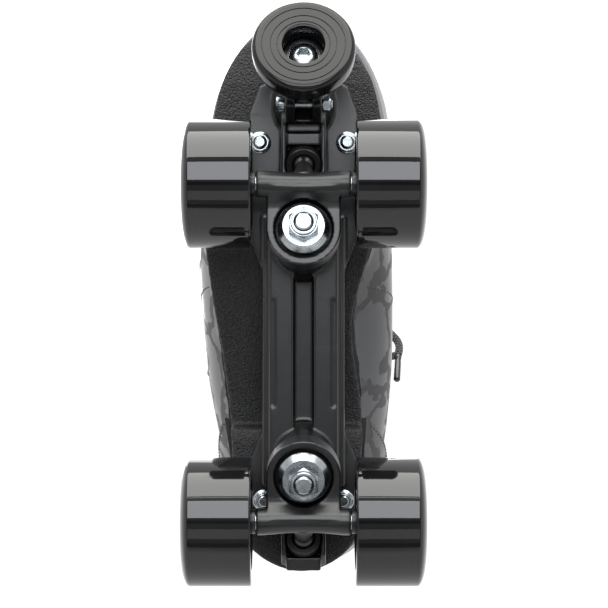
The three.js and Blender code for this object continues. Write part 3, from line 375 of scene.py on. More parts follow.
# A piece turned on Z from a closed outline of (radius, height) in millimetres, then put in place.
def turned_piece(name, outline, place, steps=72):
    bpy.ops.object.select_all(action="DESELECT")
    bpy.ops.mesh.primitive_circle_add(vertices=len(outline), fill_type="NOTHING")
    piece = bpy.context.object
    piece.name = name
    for vertex, (radius, height) in zip(piece.data.vertices, outline):
        vertex.co = (radius * MM, 0, height * MM)
    bpy.ops.object.mode_set(mode="EDIT")
    bpy.ops.mesh.select_all(action="SELECT")
    bpy.ops.mesh.spin(steps=steps, angle=2 * math.pi, center=(0, 0, 0), axis=(0, 0, 1))
    bpy.ops.mesh.select_all(action="SELECT")
    bpy.ops.mesh.remove_doubles(threshold=0.01 * MM)
    bpy.ops.mesh.delete_loose(use_verts=True, use_edges=True, use_faces=False)
    bpy.ops.mesh.select_all(action="SELECT")
    bpy.ops.mesh.normals_make_consistent(inside=False)
    bpy.ops.object.mode_set(mode="OBJECT")
    piece.data.transform(place)
    shade(piece)
    return piece


body_of = {}
for body, members in frame["record"]["behaviour"]["bodies"].items():
    for node in members:
        body_of[node] = body


def go_with(piece, node, material):
    piece.data.materials.clear()
    piece.data.materials.append(material)
    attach(piece, body_of[node])


def stand_for(piece, node, material):
    go_with(piece, node, material)
    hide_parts(node)


lace_tip = bpy.data.materials.new("lace_tip_plastic")
lace_tip.use_nodes = True
tree = lace_tip.node_tree
shader = tree.nodes["Principled BSDF"]
shader.inputs["Base Color"].default_value = (0.008, 0.008, 0.009, 1)
mottle = tree.nodes.new("ShaderNodeTexNoise")
mottle.inputs["Scale"].default_value = 800
gloss = tree.nodes.new("ShaderNodeMapRange")
gloss.inputs["To Min"].default_value = 0.08
gloss.inputs["To Max"].default_value = 0.3
tree.links.new(mottle.outputs["Fac"], gloss.inputs["Value"])
tree.links.new(gloss.outputs["Result"], shader.inputs["Roughness"])

tip_length, tip_radius = 16, 1.7
tip_outline = [(0, -1.2), (1.5, -1.2), (tip_radius, -0.8), (tip_radius, 2), (1.55, 2.6), (1.6, 3.4)]
tip_outline += [(1.55, 4.2), (tip_radius, 4.8), (tip_radius, tip_length - 0.7)]
tip_outline += [(1.2, tip_length), (0, tip_length)]
for side, routes in bow.items():
    points = [knot + Vector(p) * MM for p in routes["loop"]]
    loop = braided_lace(f"bow_loop_{side}", points)
    stand_for(loop, f"lace_loop_{side}", braid)
    points = [knot + Vector(p) * MM for p in routes["end"]]
    end_piece = braided_lace(f"bow_end_{side}", points)
    stand_for(end_piece, f"lace_end_{side}", braid)
    heading = (points[-1] - points[-2]).normalized()
    lie = Matrix.Translation(points[-1] + heading * 0.3 * MM)
    lie = lie @ heading.to_track_quat("Z", "Y").to_matrix().to_4x4()
    tip = turned_piece(f"bow_tip_{side}", tip_outline, lie, 40)
    stand_for(tip, f"aglet_{side}", lace_tip)

# ---------------------------------------------------------------- wheels
# Each wheel is a glossy black urethane tyre cast round a moulded nylon core. The core's two seats
# take the bearings, and the tyre's outer shoulder is rounded over towards a deep conical mouth.


def at(x, y, z):
    return Matrix.Translation((x * MM, y * MM, z * MM))


def turn(degrees, axis):
    return Matrix.Rotation(math.radians(degrees), 4, axis)


def middle(node):
    low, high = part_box(node)
    return (Vector(low) + Vector(high)) / 2 / MM


# A fine skin of bumps over larger soft patches, as a moulding or a worn coat has.
def skin_group():
    group = bpy.data.node_groups.new("moulded_skin", "ShaderNodeTree")
    size = group.interface.new_socket("Grain Scale", in_out="INPUT", socket_type="NodeSocketFloat")
    size.default_value = 900
    patch = group.interface.new_socket("Patch Scale", in_out="INPUT", socket_type="NodeSocketFloat")
    patch.default_value = 60
    group.interface.new_socket("Grain", in_out="OUTPUT", socket_type="NodeSocketFloat")
    group.interface.new_socket("Patches", in_out="OUTPUT", socket_type="NodeSocketFloat")
    group.interface.new_socket("Scratches", in_out="OUTPUT", socket_type="NodeSocketFloat")
    nodes, links = group.nodes, group.links
    given = nodes.new("NodeGroupInput")
    result = nodes.new("NodeGroupOutput")
    coordinates = nodes.new("ShaderNodeTexCoord")
    grain = nodes.new("ShaderNodeTexNoise")
    grain.inputs["Detail"].default_value = 3
    patches = nodes.new("ShaderNodeTexNoise")
    patches.inputs["Detail"].default_value = 4
    stretched = nodes.new("ShaderNodeMapping")
    stretched.inputs["Scale"].default_value = (1, 14, 14)
    stretched.inputs["Rotation"].default_value = (0.5, 0.3, 0.9)
    lines = nodes.new("ShaderNodeTexNoise")
    lines.inputs["Scale"].default_value = 45
    lines.inputs["Detail"].default_value = 5
    worn = nodes.new("ShaderNodeMapRange")
    worn.inputs["From Min"].default_value = 0.6
    worn.inputs["From Max"].default_value = 0.72
    links.new(coordinates.outputs["Object"], grain.inputs["Vector"])
    links.new(coordinates.outputs["Object"], patches.inputs["Vector"])
    links.new(coordinates.outputs["Object"], stretched.inputs["Vector"])
    links.new(stretched.outputs["Vector"], lines.inputs["Vector"])
    links.new(given.outputs["Grain Scale"], grain.inputs["Scale"])
    links.new(given.outputs["Patch Scale"], patches.inputs["Scale"])
    links.new(lines.outputs["Fac"], worn.inputs["Value"])
    links.new(grain.outputs["Fac"], result.inputs["Grain"])
    links.new(patches.outputs["Fac"], result.inputs["Patches"])
    links.new(worn.outputs["Result"], result.inputs["Scratches"])
    return group


moulded_skin = skin_group()


# A material whose colour, roughness and bump vary with the skin. Colours are linear, depths in mm.
def skinned(name, colors, roughness, grain, bump, patch=60, metallic=0.0, scratch=0.0, **sockets):
    material = bpy.data.materials.new(name)
    material.use_nodes = True
    tree = material.node_tree
    shader = tree.nodes["Principled BSDF"]
    shader.inputs["Metallic"].default_value = metallic
    for socket, value in sockets.items():
        shader.inputs[socket.replace("_", " ")].default_value = value
    skin = tree.nodes.new("ShaderNodeGroup")
    skin.node_tree = moulded_skin
    skin.inputs["Grain Scale"].default_value = grain
    skin.inputs["Patch Scale"].default_value = patch
    tint = tree.nodes.new("ShaderNodeValToRGB")
    tint.color_ramp.elements[0].position = 0.35
    tint.color_ramp.elements[0].color = (*colors[0], 1)
    tint.color_ramp.elements[1].position = 0.65
    tint.color_ramp.elements[1].color = (*colors[1], 1)
    dull = tree.nodes.new("ShaderNodeMapRange")
    dull.inputs["To Min"].default_value = roughness[0]
    dull.inputs["To Max"].default_value = roughness[1]
    scuffed = tree.nodes.new("ShaderNodeMath")
    scuffed.operation = "MULTIPLY_ADD"
    scuffed.inputs[1].default_value = scratch
    relief = tree.nodes.new("ShaderNodeBump")
    relief.inputs["Distance"].default_value = bump * MM
    tree.links.new(skin.outputs["Patches"], tint.inputs["Fac"])
    tree.links.new(skin.outputs["Patches"], dull.inputs["Value"])
    tree.links.new(skin.outputs["Scratches"], scuffed.inputs[0])
    tree.links.new(dull.outputs["Result"], scuffed.inputs[2])
    tree.links.new(skin.outputs["Grain"], relief.inputs["Height"])
    tree.links.new(tint.outputs["Color"], shader.inputs["Base Color"])
    tree.links.new(scuffed.outputs[0], shader.inputs["Roughness"])
    tree.links.new(relief.outputs["Normal"], shader.inputs["Normal"])
    return material


urethane = skinned(
    "urethane", [(0.004, 0.004, 0.0045), (0.006, 0.006, 0.0065)], (0.02, 0.06), 300, 0.004, 25, scratch=0.06
)
nylon = skinned(
    "nylon", [(0.004, 0.0042, 0.0048), (0.0065, 0.0067, 0.0074)], (0.26, 0.36), 1600, 0.05, 45, scratch=0.12
)

wheel_half = 15.75
tread = 29
lip_across, lip_radial = 4, 13
lip = []
for i in range(13):
    angle = i * math.pi / 24
    lip.append(
        (tread - lip_radial * (1 - math.sin(angle)), wheel_half - lip_across * (1 - math.cos(angle)))
    )
tyre_outline = [(tread - lip_radial, 13.4), *lip]
inner_side = [(tread, 5), (tread, -wheel_half), (21.5, -wheel_half), (20, -13.6), (16, -13.6)]
# The first corner is on the tread, so its seven rounding points are left out.
tyre_outline += soften(inner_side, 1.1, 6)[7:]
seat, bore = 11.25, 9
core_outline = soften(
    [
        (bore, -7.1),
        (bore, -0.4),
        (seat, -0.4),
        (seat, 7.05),
        (15.4, 15.2),
        (15.95, 15.2),
        (15.95, -13.7),
        (19.6, -13.7),
        (20.6, -15.2),
        (13, -15.45),
        (seat, -14.9),
        (seat, -7.1),
    ],
    0.35,
)
sides = {"right": 1, "left": -1}
for end in ("front", "rear"):
    for side, sign in sides.items():
        node = f"{end}_{side}_wheel"
        outwards = Matrix.Translation(middle(node) * MM) @ turn(sign * 90, "Y")
        tyre = turned_piece(f"{node}_tyre", tyre_outline, outwards, 128)
        stand_for(tyre, node, urethane)
        core = turned_piece(f"{node}_core", core_outline, outwards, 96)
        go_with(core, node, nylon)

# ---------------------------------------------------------------- bearings
# Two 608 ball bearings sit in each wheel: ground steel races with a pressed shield let in between
# them on both faces. They are pushed into the core's seats and clamped by the axle nut.

bearing_steel = skinned(
    "bearing_steel", [(0.42, 0.43, 0.44), (0.52, 0.53, 0.54)], (0.2, 0.32), 2500, 0.01, 180, metallic=1.0
)
bearing_outline = soften(
    [
        (4.2, 0),
        (5.8, 0),
        (5.8, 0.4),
        (6.3, 0.25),
        (9.0, 0.25),
        (9.4, 0.45),
        (9.4, 0),
        (11, 0),
        (11, 7),
        (9.4, 7),
        (9.4, 6.55),
        (9.0, 6.75),
        (6.3, 6.75),
        (5.8, 6.6),
        (5.8, 7),
        (4.2, 7),
    ],
    0.22,
    2,
)
for end in ("front", "rear"):
    for side, sign in sides.items():
        for place in ("inner", "outer"):
            node = f"{end}_{side}_{place}_bearing"
            outwards = Matrix.Translation(middle(node) * MM) @ turn(sign * 90, "Y") @ at(0, 0, -3.5)
            bearing = turned_piece(node + "_races", bearing_outline, outwards, 64)
            stand_for(bearing, node, bearing_steel)

# ---------------------------------------------------------------- axles and axle nuts
# The axle is a steel rod pressed through the hanger and threaded at each end. A dark collar on it
# is each wheel's shoulder, and a zinc-plated locking nut holds the wheel on.

zinc = skinned(
    "zinc_steel",
    [(0.27, 0.3, 0.32), (0.4, 0.43, 0.45)],
    (0.17, 0.32),
    2200,
    0.02,
    140,
    metallic=1.0,
    scratch=0.15,
)


# Ridges of a thread between two heights, as outline points.
def thread(radius, low, high, pitch=1.25, depth=0.55):
    points = []
    count = int((high - low) / pitch)
    for i in range(count):
        foot = low + i * pitch
        points.append((radius, foot + 0.1))
        points.append((radius, foot + pitch * 0.35))
        points.append((radius - depth, foot + pitch * 0.6))
        points.append((radius - depth, foot + pitch * 0.8))
    return points


# A flat outline in the XY plane, in millimetres, pushed up from low to high.
def prism(name, outline, low, high, place):
    bpy.ops.object.select_all(action="DESELECT")
    bpy.ops.mesh.primitive_circle_add(vertices=len(outline), fill_type="NGON")
    piece = bpy.context.object
    piece.name = name
    for vertex, (x, y) in zip(piece.data.vertices, outline):
        vertex.co = (x * MM, y * MM, low * MM)
    bpy.ops.object.mode_set(mode="EDIT")
    bpy.ops.mesh.select_all(action="SELECT")
    bpy.ops.mesh.extrude_region_move(TRANSFORM_OT_translate={"value": (0, 0, (high - low) * MM)})
    bpy.ops.mesh.select_all(action="SELECT")
    bpy.ops.mesh.normals_make_consistent(inside=False)
    bpy.ops.object.mode_set(mode="OBJECT")
    piece.data.transform(place)
    return piece


# Cuts, joins or trims a piece by others, which are used up.
def combine(piece, operation, *others):
    for other in others:
        bpy.ops.object.select_all(action="DESELECT")
        bpy.context.view_layer.objects.active = piece
        step = piece.modifiers.new("combine", "BOOLEAN")
        step.operation = operation
        step.solver = "MANIFOLD"
        step.object = other
        bpy.ops.object.modifier_apply(modifier=step.name)
        bpy.data.objects.remove(other)
    return piece


def hexagon(across_flats, turned_by=0.0):
    radius = across_flats / math.sqrt(3)
    angles = [turned_by + i * math.pi / 3 for i in range(6)]
    return [(radius * math.cos(a), radius * math.sin(a)) for a in angles]


# A nut whose face at height 0 bears on its washer: chamfered flats below a round collar.
def nut_piece(name, across, height, collar, bore, place, turned_by=0.0):
    nut = prism(name, hexagon(across, turned_by), 0, height - collar, Matrix())
    corner = across / math.sqrt(3)
    flat = across / 2
    top = height - collar
    chamfer = [
        (0, -1),
        (flat - 0.2, -1),
        (flat - 0.2, 0),
        (corner + 0.1, 0.75),
        (corner + 0.1, top - 0.75),
        (flat - 0.2, top),
        (flat - 0.2, top + 1),
        (0, top + 1),
    ]
    combine(nut, "INTERSECT", turned_piece("chamfer", chamfer, Matrix(), 60))
    if collar:
        collar_outline = [(0, top - 1), (flat - 0.6, top - 1), (flat - 0.6, height), (0, height)]
        combine(
            nut, "UNION", turned_piece("collar", soften(collar_outline, 0.8), Matrix(), 60)
        )
    hole = [(0, -2), (bore + 0.5, -2), (bore + 0.5, 0), (bore, 0.5), (bore, height - 0.5)]
    hole += [(bore + 0.4, height), (bore + 0.4, height + 2), (0, height + 2)]
    combine(nut, "DIFFERENCE", turned_piece("hole", hole, Matrix(), 40))
    nut.data.transform(place)
    shade(nut, 25)
    return nut


shoulder_from, shoulder_to = 21.7, 24.65
axle_tip = 54.65
half_axle = [(3.5, shoulder_from), (4, shoulder_from + 0.3), (4, 44)]
half_axle += [*thread(4, 44.5, axle_tip - 1), (4, axle_tip - 0.6), (3.3, axle_tip), (0, axle_tip)]
axle_outline = [(r, -z) for r, z in reversed(half_axle)] + half_axle
for end in ("front", "rear"):
    centre = middle(f"{end}_axle")
    axle = turned_piece(
        f"{end}_axle_rod", axle_outline, Matrix.Translation(centre * MM) @ turn(90, "Y"), 48
    )
    stand_for(axle, f"{end}_axle", bearing_steel)
    for side, sign in sides.items():
        collar_outline = soften(
            [(4.05, shoulder_from), (5.5, shoulder_from), (5.5, shoulder_to), (4.05, shoulder_to)], 0.3
        )
        along_axle = Matrix.Translation(centre * MM) @ turn(sign * 90, "Y")
        shoulder = turned_piece(f"{end}_{side}_axle_shoulder", collar_outline, along_axle, 60)
        go_with(shoulder, f"{end}_axle", nylon)
        node = f"{end}_{side}_axle_nut"
        outwards = Matrix.Translation(middle(node) * MM) @ turn(sign * 90, "Y") @ at(0, 0, -3.25)
        nut = nut_piece(node + "_locking", 13, 6.5, 1.6, 4.25, outwards)
        stand_for(nut, node, zinc)

# ---------------------------------------------------------------- hangers
# The hanger is one moulding of glass-filled nylon. A waisted tube holds the axle, a D-shaped yoke
# is squeezed between the cushions, and an arm with a ball end stands in the plate's pivot cup.

truck_place = {
    "front": Matrix.Translation(middle("front_axle") * MM),
    "rear": Matrix.Translation(middle("rear_axle") * MM) @ turn(180, "Z"),
}
kingpin_tilt = 12
kingpin_place = {
    end: place @ at(0, -21.5, 4) @ turn(kingpin_tilt, "X") for end, place in truck_place.items()
}
pivot_out, pivot_up = 10, 23
pivot_tilt = math.degrees(math.atan2(pivot_out, pivot_up))
pivot_place = {
    end: place @ at(0, pivot_out, pivot_up) @ turn(-pivot_tilt, "X")
    for end, place in truck_place.items()
}
seat_radius = 13.4
yoke_half = 16.8
ball_radius = 5


# Evens a joined shape out into one skin, as a mould does, with every edge slightly rounded.
def moulded(piece, voxel, passes, factor=0.5):
    bpy.ops.object.select_all(action="DESELECT")
    piece.select_set(True)
    bpy.context.view_layer.objects.active = piece
    skin = piece.modifiers.new("skin", "REMESH")
    skin.mode = "VOXEL"
    skin.voxel_size = voxel * MM
    bpy.ops.object.modifier_apply(modifier=skin.name)
    rounded = piece.modifiers.new("rounded", "SMOOTH")
    rounded.factor = factor
    rounded.iterations = passes
    bpy.ops.object.modifier_apply(modifier=rounded.name)
    for polygon in piece.data.polygons:
        polygon.use_smooth = True
    return piece


def hanger_piece(end):
    truck = truck_place[end]
    kingpin = kingpin_place[end]
    pivot = pivot_place[end]
    across = truck @ turn(90, "Y")
    tube = [(0, -21.4), (6.15, -21.4), (6.15, -18.6)]
    for i in range(-8, 9):
        share = i / 8
        tube.append((6.1 - 0.95 * (1 - share * share), share * 17.4))
    tube += [(6.15, 18.6), (6.15, 21.4), (0, 21.4)]
    hanger = turned_piece(f"{end}_hanger_moulding", tube, across, 72)
    to_axle = (kingpin.inverted() @ truck).translation.y / MM
    turns = [a * math.pi / 36 for a in range(37)]
    round_part = [(yoke_half * math.cos(a), -yoke_half * math.sin(a)) for a in turns]
    yoke_outline = [*round_part, (-yoke_half, to_axle - 1), (yoke_half, to_axle - 1)]
    yoke = prism("yoke", yoke_outline, -7, 4.5, kingpin)
    arm_length = math.hypot(pivot_out, pivot_up)
    arm_outline = [(0, -arm_length), (6, -arm_length), (3.3, -2.5), (0, -2.5)]
    arm = turned_piece("arm", arm_outline, pivot, 48)
    turns = [a * math.pi / 24 for a in range(-11, 12)]
    ball_outline = [(ball_radius * math.cos(a), ball_radius * math.sin(a)) for a in turns]
    ball = turned_piece("ball", [(0, -ball_radius), *ball_outline, (0, ball_radius)], pivot, 48)
    sideways = Matrix(((0, 0, 1, 0), (1, 0, 0, 0), (0, 1, 0, 0), (0, 0, 0, 1)))
    rib = prism("rib", [(-7.2, 2), (2, -2), (7.2, 16.5), (4.5, 16.5)], -3, 3, truck @ sideways)
    blend_outline = [(-1, -5.9), (-3.6, -5.0), (-5.6, -3.2), (-8, -1.2), (-12, -0.9), (-8, 3), (0, 2)]
    blend = prism("blend", blend_outline, -16.6, 16.6, truck @ sideways)
    combine(hanger, "UNION", yoke, arm, ball, rib, blend)
    outer_seat = turned_piece(
        "outer_seat", [(0, -12), (seat_radius, -12), (seat_radius, -2), (0, -2)], kingpin
    )
    inner_seat = turned_piece(
        "inner_seat", [(0, 2), (seat_radius, 2), (seat_radius, 9), (0, 9)], kingpin
    )
    hole = turned_piece("hole", [(0, -4), (6.5, -4), (6.5, 4), (0, 4)], kingpin)
    bore = turned_piece("bore", [(0, -30), (3.8, -30), (3.8, 30), (0, 30)], across, 48)
    combine(hanger, "DIFFERENCE", outer_seat, inner_seat, hole, bore)
    moulded(hanger, 0.45, 8)
    return hanger


for end in ("front", "rear"):
    stand_for(hanger_piece(end), f"{end}_hanger", nylon)

# ---------------------------------------------------------------- kingpin stacks
# A zinc-plated kingpin stands in the plate under each truck. It carries a flat washer, a rubber
# cushion, the hanger's yoke, a second cushion and a flared cup, all drawn up by a locking nut.

cushion_rubber = skinned(
    "cushion", [(0.007, 0.007, 0.0075), (0.01, 0.01, 0.0105)], (0.3, 0.42), 700, 0.03, 60
)
cushion_outline = [(4.3, 0), (10.4, 0), (10.8, 0.5), (10.95, 1.7), (10.95, 3.2), (10.75, 4.7)]
cushion_outline += [(8.7, 7.7), (8.2, 8.2), (4.3, 8.2)]
cup_outline = [(4.3, 0), (4.3, -1.2), (8.4, -1.2), (9.4, -1.7), (10.6, -3.9), (10.9, -4.4)]
cup_outline += [(11.6, -4.6), (12.0, -4.2), (11.9, -3.8), (11.5, -3.4), (10.3, -0.7), (9.4, 0)]
washer_outline = soften([(4.3, 0), (12, 0), (12, 1.2), (4.3, 1.2)], 0.3)
kingpin_outline = [(0, -20.5), (3.3, -20.5), (4, -19.9), *thread(4, -19.8, -8), (4, 34.5), (0, 34.5)]
flip = turn(180, "X")
for end in ("front", "rear"):
    stack = kingpin_place[end]
    for name, place in (("inner", at(0, 0, 2.3)), ("outer", at(0, 0, -2.3) @ flip)):
        # The rubber is squeezed between a still washer or cup and the steering yoke.
        cushion = turned_piece(f"{end}_{name}_cushion_turned", cushion_outline, stack @ place, 72)
        cushion.data.materials.append(cushion_rubber)
        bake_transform(cushion)
        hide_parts(f"{end}_{name}_cushion")
    washer = turned_piece(f"{end}_inner_washer_turned", washer_outline, stack @ at(0, 0, 10.8), 72)
    stand_for(washer, f"{end}_inner_washer", zinc)
    cup = turned_piece(f"{end}_cushion_cup_turned", cup_outline, stack @ at(0, 0, -12) @ flip, 72)
    stand_for(cup, f"{end}_cushion_cup", zinc)
    nut_place = stack @ at(0, 0, -12.3) @ flip
    nut = nut_piece(f"{end}_kingpin_nut_locking", 13, 7, 1.7, 4.25, nut_place, math.pi / 6)
    stand_for(nut, f"{end}_kingpin_nut", zinc)
    kingpin = turned_piece(f"{end}_kingpin_bolt", kingpin_outline, stack, 48)
    head = prism("head", hexagon(13), 33.94, 38.94, Matrix())
    rounding = [(0, 33), (7, 33), (7.6, 34.2), (7.6, 38.2), (6.6, 38.94), (0, 38.94)]
    combine(head, "INTERSECT", turned_piece("rounding", rounding, Matrix(), 60))
    head.data.transform(stack)
    combine(kingpin, "UNION", head)
    shade(kingpin, 25)
    stand_for(kingpin, f"{end}_kingpin", zinc)

# ---------------------------------------------------------------- pivot cups
# A soft cup is pressed into each of the plate's pivot bosses, and the ball on the hanger's arm
# turns in its hollow.

cup_hollow = 5.6
hollow = [
    (cup_hollow * math.cos(a), cup_hollow * math.sin(a))
    for a in [-0.18 + i * (math.pi / 2 + 0.18) / 10 for i in range(10)]
]
pivot_cup_outline = [(0, cup_hollow), *reversed(hollow), (7.6, -1), (8, -0.6), (8, 7.8)]
pivot_cup_outline += [(7.5, 8.3), (0, 8.3)]
for end in ("front", "rear"):
    cup = turned_piece(f"{end}_pivot_cup_turned", pivot_cup_outline, pivot_place[end], 60)
    stand_for(cup, f"{end}_pivot_cup", cushion_rubber)

# ---------------------------------------------------------------- plate
# The plate is one long moulding of black nylon: a flat platform on a twin-railed beam, a boss for
# each kingpin, a walled housing for each pivot cup, and a split barrel that grips the toe stop.


def merged_copy(name, node):
    piece = bpy.data.objects.new(name, frame["nodes"][node].data.copy())
    bpy.context.scene.collection.objects.link(piece)
    bpy.ops.object.select_all(action="DESELECT")
    piece.select_set(True)
    bpy.context.view_layer.objects.active = piece
    bpy.ops.object.mode_set(mode="EDIT")
    bpy.ops.mesh.select_all(action="SELECT")
    bpy.ops.mesh.remove_doubles(threshold=0.002 * MM)
    bpy.ops.object.mode_set(mode="OBJECT")
    return piece


def box_piece(name, low, high, place=Matrix()):
    corners = [(low[0], low[1]), (high[0], low[1]), (high[0], high[1]), (low[0], high[1])]
    return prism(name, corners, low[2], high[2], place)


plate = merged_copy("plate_moulding", "plate")
stop_tilt = 25
mounts = {mount["name"]: mount for mount in frame["record"]["mounts"]}
stop_y, stop_z = mounts["toe_stop_face"]["pos_m"][1:]
stop_place = Matrix.Translation((0, stop_y, stop_z)) @ turn(stop_tilt, "X")
sole_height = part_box("plate")[1][2] / MM
for end in ("front", "rear"):
    boss_outline = [(0, 12.3), (13.0, 12.3), (13.5, 12.9), (14.2, 24), (16, 30), (16, 39.5), (0, 39.5)]
    boss = turned_piece("boss", boss_outline, kingpin_place[end], 72)
    combine(plate, "UNION", boss)
barrel = turned_piece("barrel", [(0, 24), (14.3, 24), (14.6, 24.4), (14.6, 50), (0, 50)], stop_place, 72)
combine(plate, "UNION", barrel)
over_top = box_piece("over_top", (-60, -160, sole_height), (60, 160, 120))
combine(plate, "DIFFERENCE", over_top)
for end in ("front", "rear"):
    shank = turned_piece("shank", [(0, 5), (4.3, 5), (4.3, 60), (0, 60)], kingpin_place[end], 48)
    pocket = prism("pocket", hexagon(13.6), 33.6, 60, kingpin_place[end])
    socket = turned_piece("socket", [(0, -9), (8.3, -9), (8.3, 8.6), (0, 8.6)], pivot_place[end], 60)
    combine(plate, "DIFFERENCE", shank, pocket, socket)
stem_hole = turned_piece("stem_hole", [(0, 10), (8.3, 10), (8.3, 80), (0, 80)], stop_place, 72)
split = box_piece("split", (-3.9, -29, 5), (3.9, 0, 40), stop_place)
combine(plate, "DIFFERENCE", stem_hole, split)
# A shallow step along each rail's outer edge.
for sign in (-1, 1):
    near, far = sorted((sign * 12.9, sign * 20))
    step = box_piece("step", (near, -52, 50), (far, -2, 54.6))
    combine(plate, "DIFFERENCE", step)
moulded(plate, 0.62, 4)
thin = plate.modifiers.new("thin", "DECIMATE")
thin.ratio = 0.6
bpy.context.view_layer.objects.active = plate
bpy.ops.object.modifier_apply(modifier=thin.name)
stand_for(plate, "plate", nylon)

# ---------------------------------------------------------------- sole bolts and their nuts
# Four screws come down through the footbed, the sole and the plate. Each has a low domed head
# inside the boot and a flanged zinc-plated nut under the plate's platform.

for end in ("front", "rear"):
    for side in sides:
        node = f"{end}_{side}_sole_bolt"
        low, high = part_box(node)
        centre = middle(node)
        length = (high[2] - low[2]) / MM
        head = length - 2
        bolt_outline = [(0, 0), (2.1, 0), (2.5, 0.4), *thread(2.5, 0.5, 9, 0.8, 0.35)]
        bolt_outline += [(2.5, head), (5.5, head), (5.45, head + 0.5), (4.6, head + 1.2)]
        bolt_outline += [(3, head + 1.75), (0, length)]
        place = at(centre.x, centre.y, low[2] / MM)
        bolt = turned_piece(node + "_domed", bolt_outline, place, 40)
        combine(bolt, "DIFFERENCE", prism("key", hexagon(3), length - 1.4, length + 1, place))
        shade(bolt, 25)
        stand_for(bolt, node, zinc)

        node = f"{end}_{side}_sole_nut"
        low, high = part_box(node)
        place = at(centre.x, centre.y, high[2] / MM) @ flip
        nut = nut_piece(node + "_flanged", 8, 5, 0.9, 2.8, place, 0.3 if side == "left" else 0.8)
        flange_outline = soften([(2.8, 0), (5.2, 0), (5.2, 0.9), (4.2, 1.5), (2.8, 1.5)], 0.3)
        flange = turned_piece("flange", flange_outline, place, 60)
        combine(nut, "UNION", flange)
        shade(nut, 25)
        stand_for(nut, node, zinc)

# ---------------------------------------------------------------- toe stop
# A rubber stopper is bonded to a plated hollow stem that slides in the plate's split barrel. Its
# working face has fine rings, and the stem's hex socket is at the bottom of the hole.

stop_rubber = skinned(
    "stop_rubber",
    [(0.005, 0.005, 0.0055), (0.008, 0.008, 0.0085)],
    (0.1, 0.19),
    500,
    0.004,
    40,
    scratch=0.15,
    Specular_IOR_Level=0.27,
)
stop_radius, stop_round = 23.3, 2.8


def ring_groove(radius, width=0.45, depth=0.5):
    half = width / 2
    floor_half = half / 2
    floor = [(radius - floor_half, depth), (radius + floor_half, depth)]
    return [(radius - half, 0), *floor, (radius + half, 0)]


rubber_outline = [(9.6, 13.1), (9.6, 0.7), (9.8, 0.2), (10.3, 0)]
for radius in (11.9, 14.9, 18.8):
    rubber_outline += ring_groove(radius)
for i in range(9):
    angle = i * math.pi / 16
    rubber_outline.append(
        (stop_radius - stop_round * (1 - math.sin(angle)), stop_round * (1 - math.cos(angle)))
    )
rubber_outline += [(stop_radius, 8.4), (23.0, 9.6), (22.0, 10.9), (20.2, 12.1), (16.5, 14.2), (13.6, 16.4)]
rubber_outline += [(12.3, 17.6), (11.6, 18), (8.3, 18), (8.3, 13.1)]
stopper = turned_piece("toe_stop_rubber_turned", rubber_outline, stop_place, 128)
stand_for(stopper, "toe_stop_rubber", stop_rubber)

stem_outline = [(0, 8.3), (3.4, 8.35), (4.8, 8.7), (5.8, 9.5), (6.5, 10.6), (6.75, 11.3), (9.1, 11.3)]
stem_outline += [(9.3, 11.5), (9.3, 12.6), (9.1, 12.8), (8, 12.8), (8, 17.5)]
stem_outline += [*thread(8, 18.5, 51, 1.5, 0.7), (8, 51), (7, 51.8), (0, 51.8)]
stem = turned_piece("toe_stop_stem_threaded", stem_outline, stop_place, 72)
combine(stem, "DIFFERENCE", prism("key", hexagon(6), 4, 11.5, stop_place))
shade(stem, 25)
stand_for(stem, "toe_stop_stem", zinc)

# A black sealing ring lies on the stem's flange, round the dome.
seal_outline = soften([(6.85, 10.3), (9.2, 10.3), (9.2, 11.2), (6.85, 11.2)], 0.3)
seal = turned_piece("toe_stop_sealing_ring", seal_outline, stop_place, 72)
go_with(seal, "toe_stop_rubber", stop_rubber)

# The pinch bolt closes the barrel's two ears on the stem.
pinch_place = stop_place @ at(0, -12.4, 32) @ turn(90, "Y")
pinch_outline = [(0, -13.3), (1.6, -13.3), (2, -12.9), *thread(2, -12.8, -8.7, 0.7, 0.3), (2, 8.7)]
pinch_outline += [(3.85, 8.7), (4, 8.9), (4, 11.6), (3.6, 12.5), (2.6, 12.7), (0, 12.7)]
pinch = turned_piece("toe_stop_pinch_bolt_turned", pinch_outline, pinch_place, 48)
combine(pinch, "DIFFERENCE", prism("key", hexagon(3), 10.6, 14, pinch_place))
shade(pinch, 25)
stand_for(pinch, "toe_stop_pinch_bolt", zinc)
pinch_nut = nut_piece(
    "toe_stop_pinch_nut_locking", 7, 4, 0.8, 2.3, pinch_place @ at(0, 0, -8.7) @ flip, 0.2
)
stand_for(pinch_nut, "toe_stop_pinch_nut", zinc)

# ---------------------------------------------------------------- outsole
# The sole is moulded from coarse-pebbled black rubber: flat under the forefoot and the heel, hollow
# under the arch, and waisted on the inner side. It is glued to the upper and held by the bolts.


def along(pairs):
    # A smooth value through (place, value) pairs in rising order, flat beyond the ends.
    slopes = []
    for i in range(len(pairs)):
        before, after = pairs[max(i - 1, 0)], pairs[min(i + 1, len(pairs) - 1)]
        slopes.append((after[1] - before[1]) / (after[0] - before[0]))

    def value(t):
        if t <= pairs[0][0]:
            return pairs[0][1]
        if t >= pairs[-1][0]:
            return pairs[-1][1]
        i = next(k for k, pair in enumerate(pairs) if pair[0] > t) - 1
        span = pairs[i + 1][0] - pairs[i][0]
        s = (t - pairs[i][0]) / span
        rise = pairs[i + 1][1] - pairs[i][1]
        ease = pairs[i][1] + rise * s * s * (3 - 2 * s)
        return ease + span * s * (1 - s) * (slopes[i] * (1 - s) - slopes[i + 1] * s)

    return value


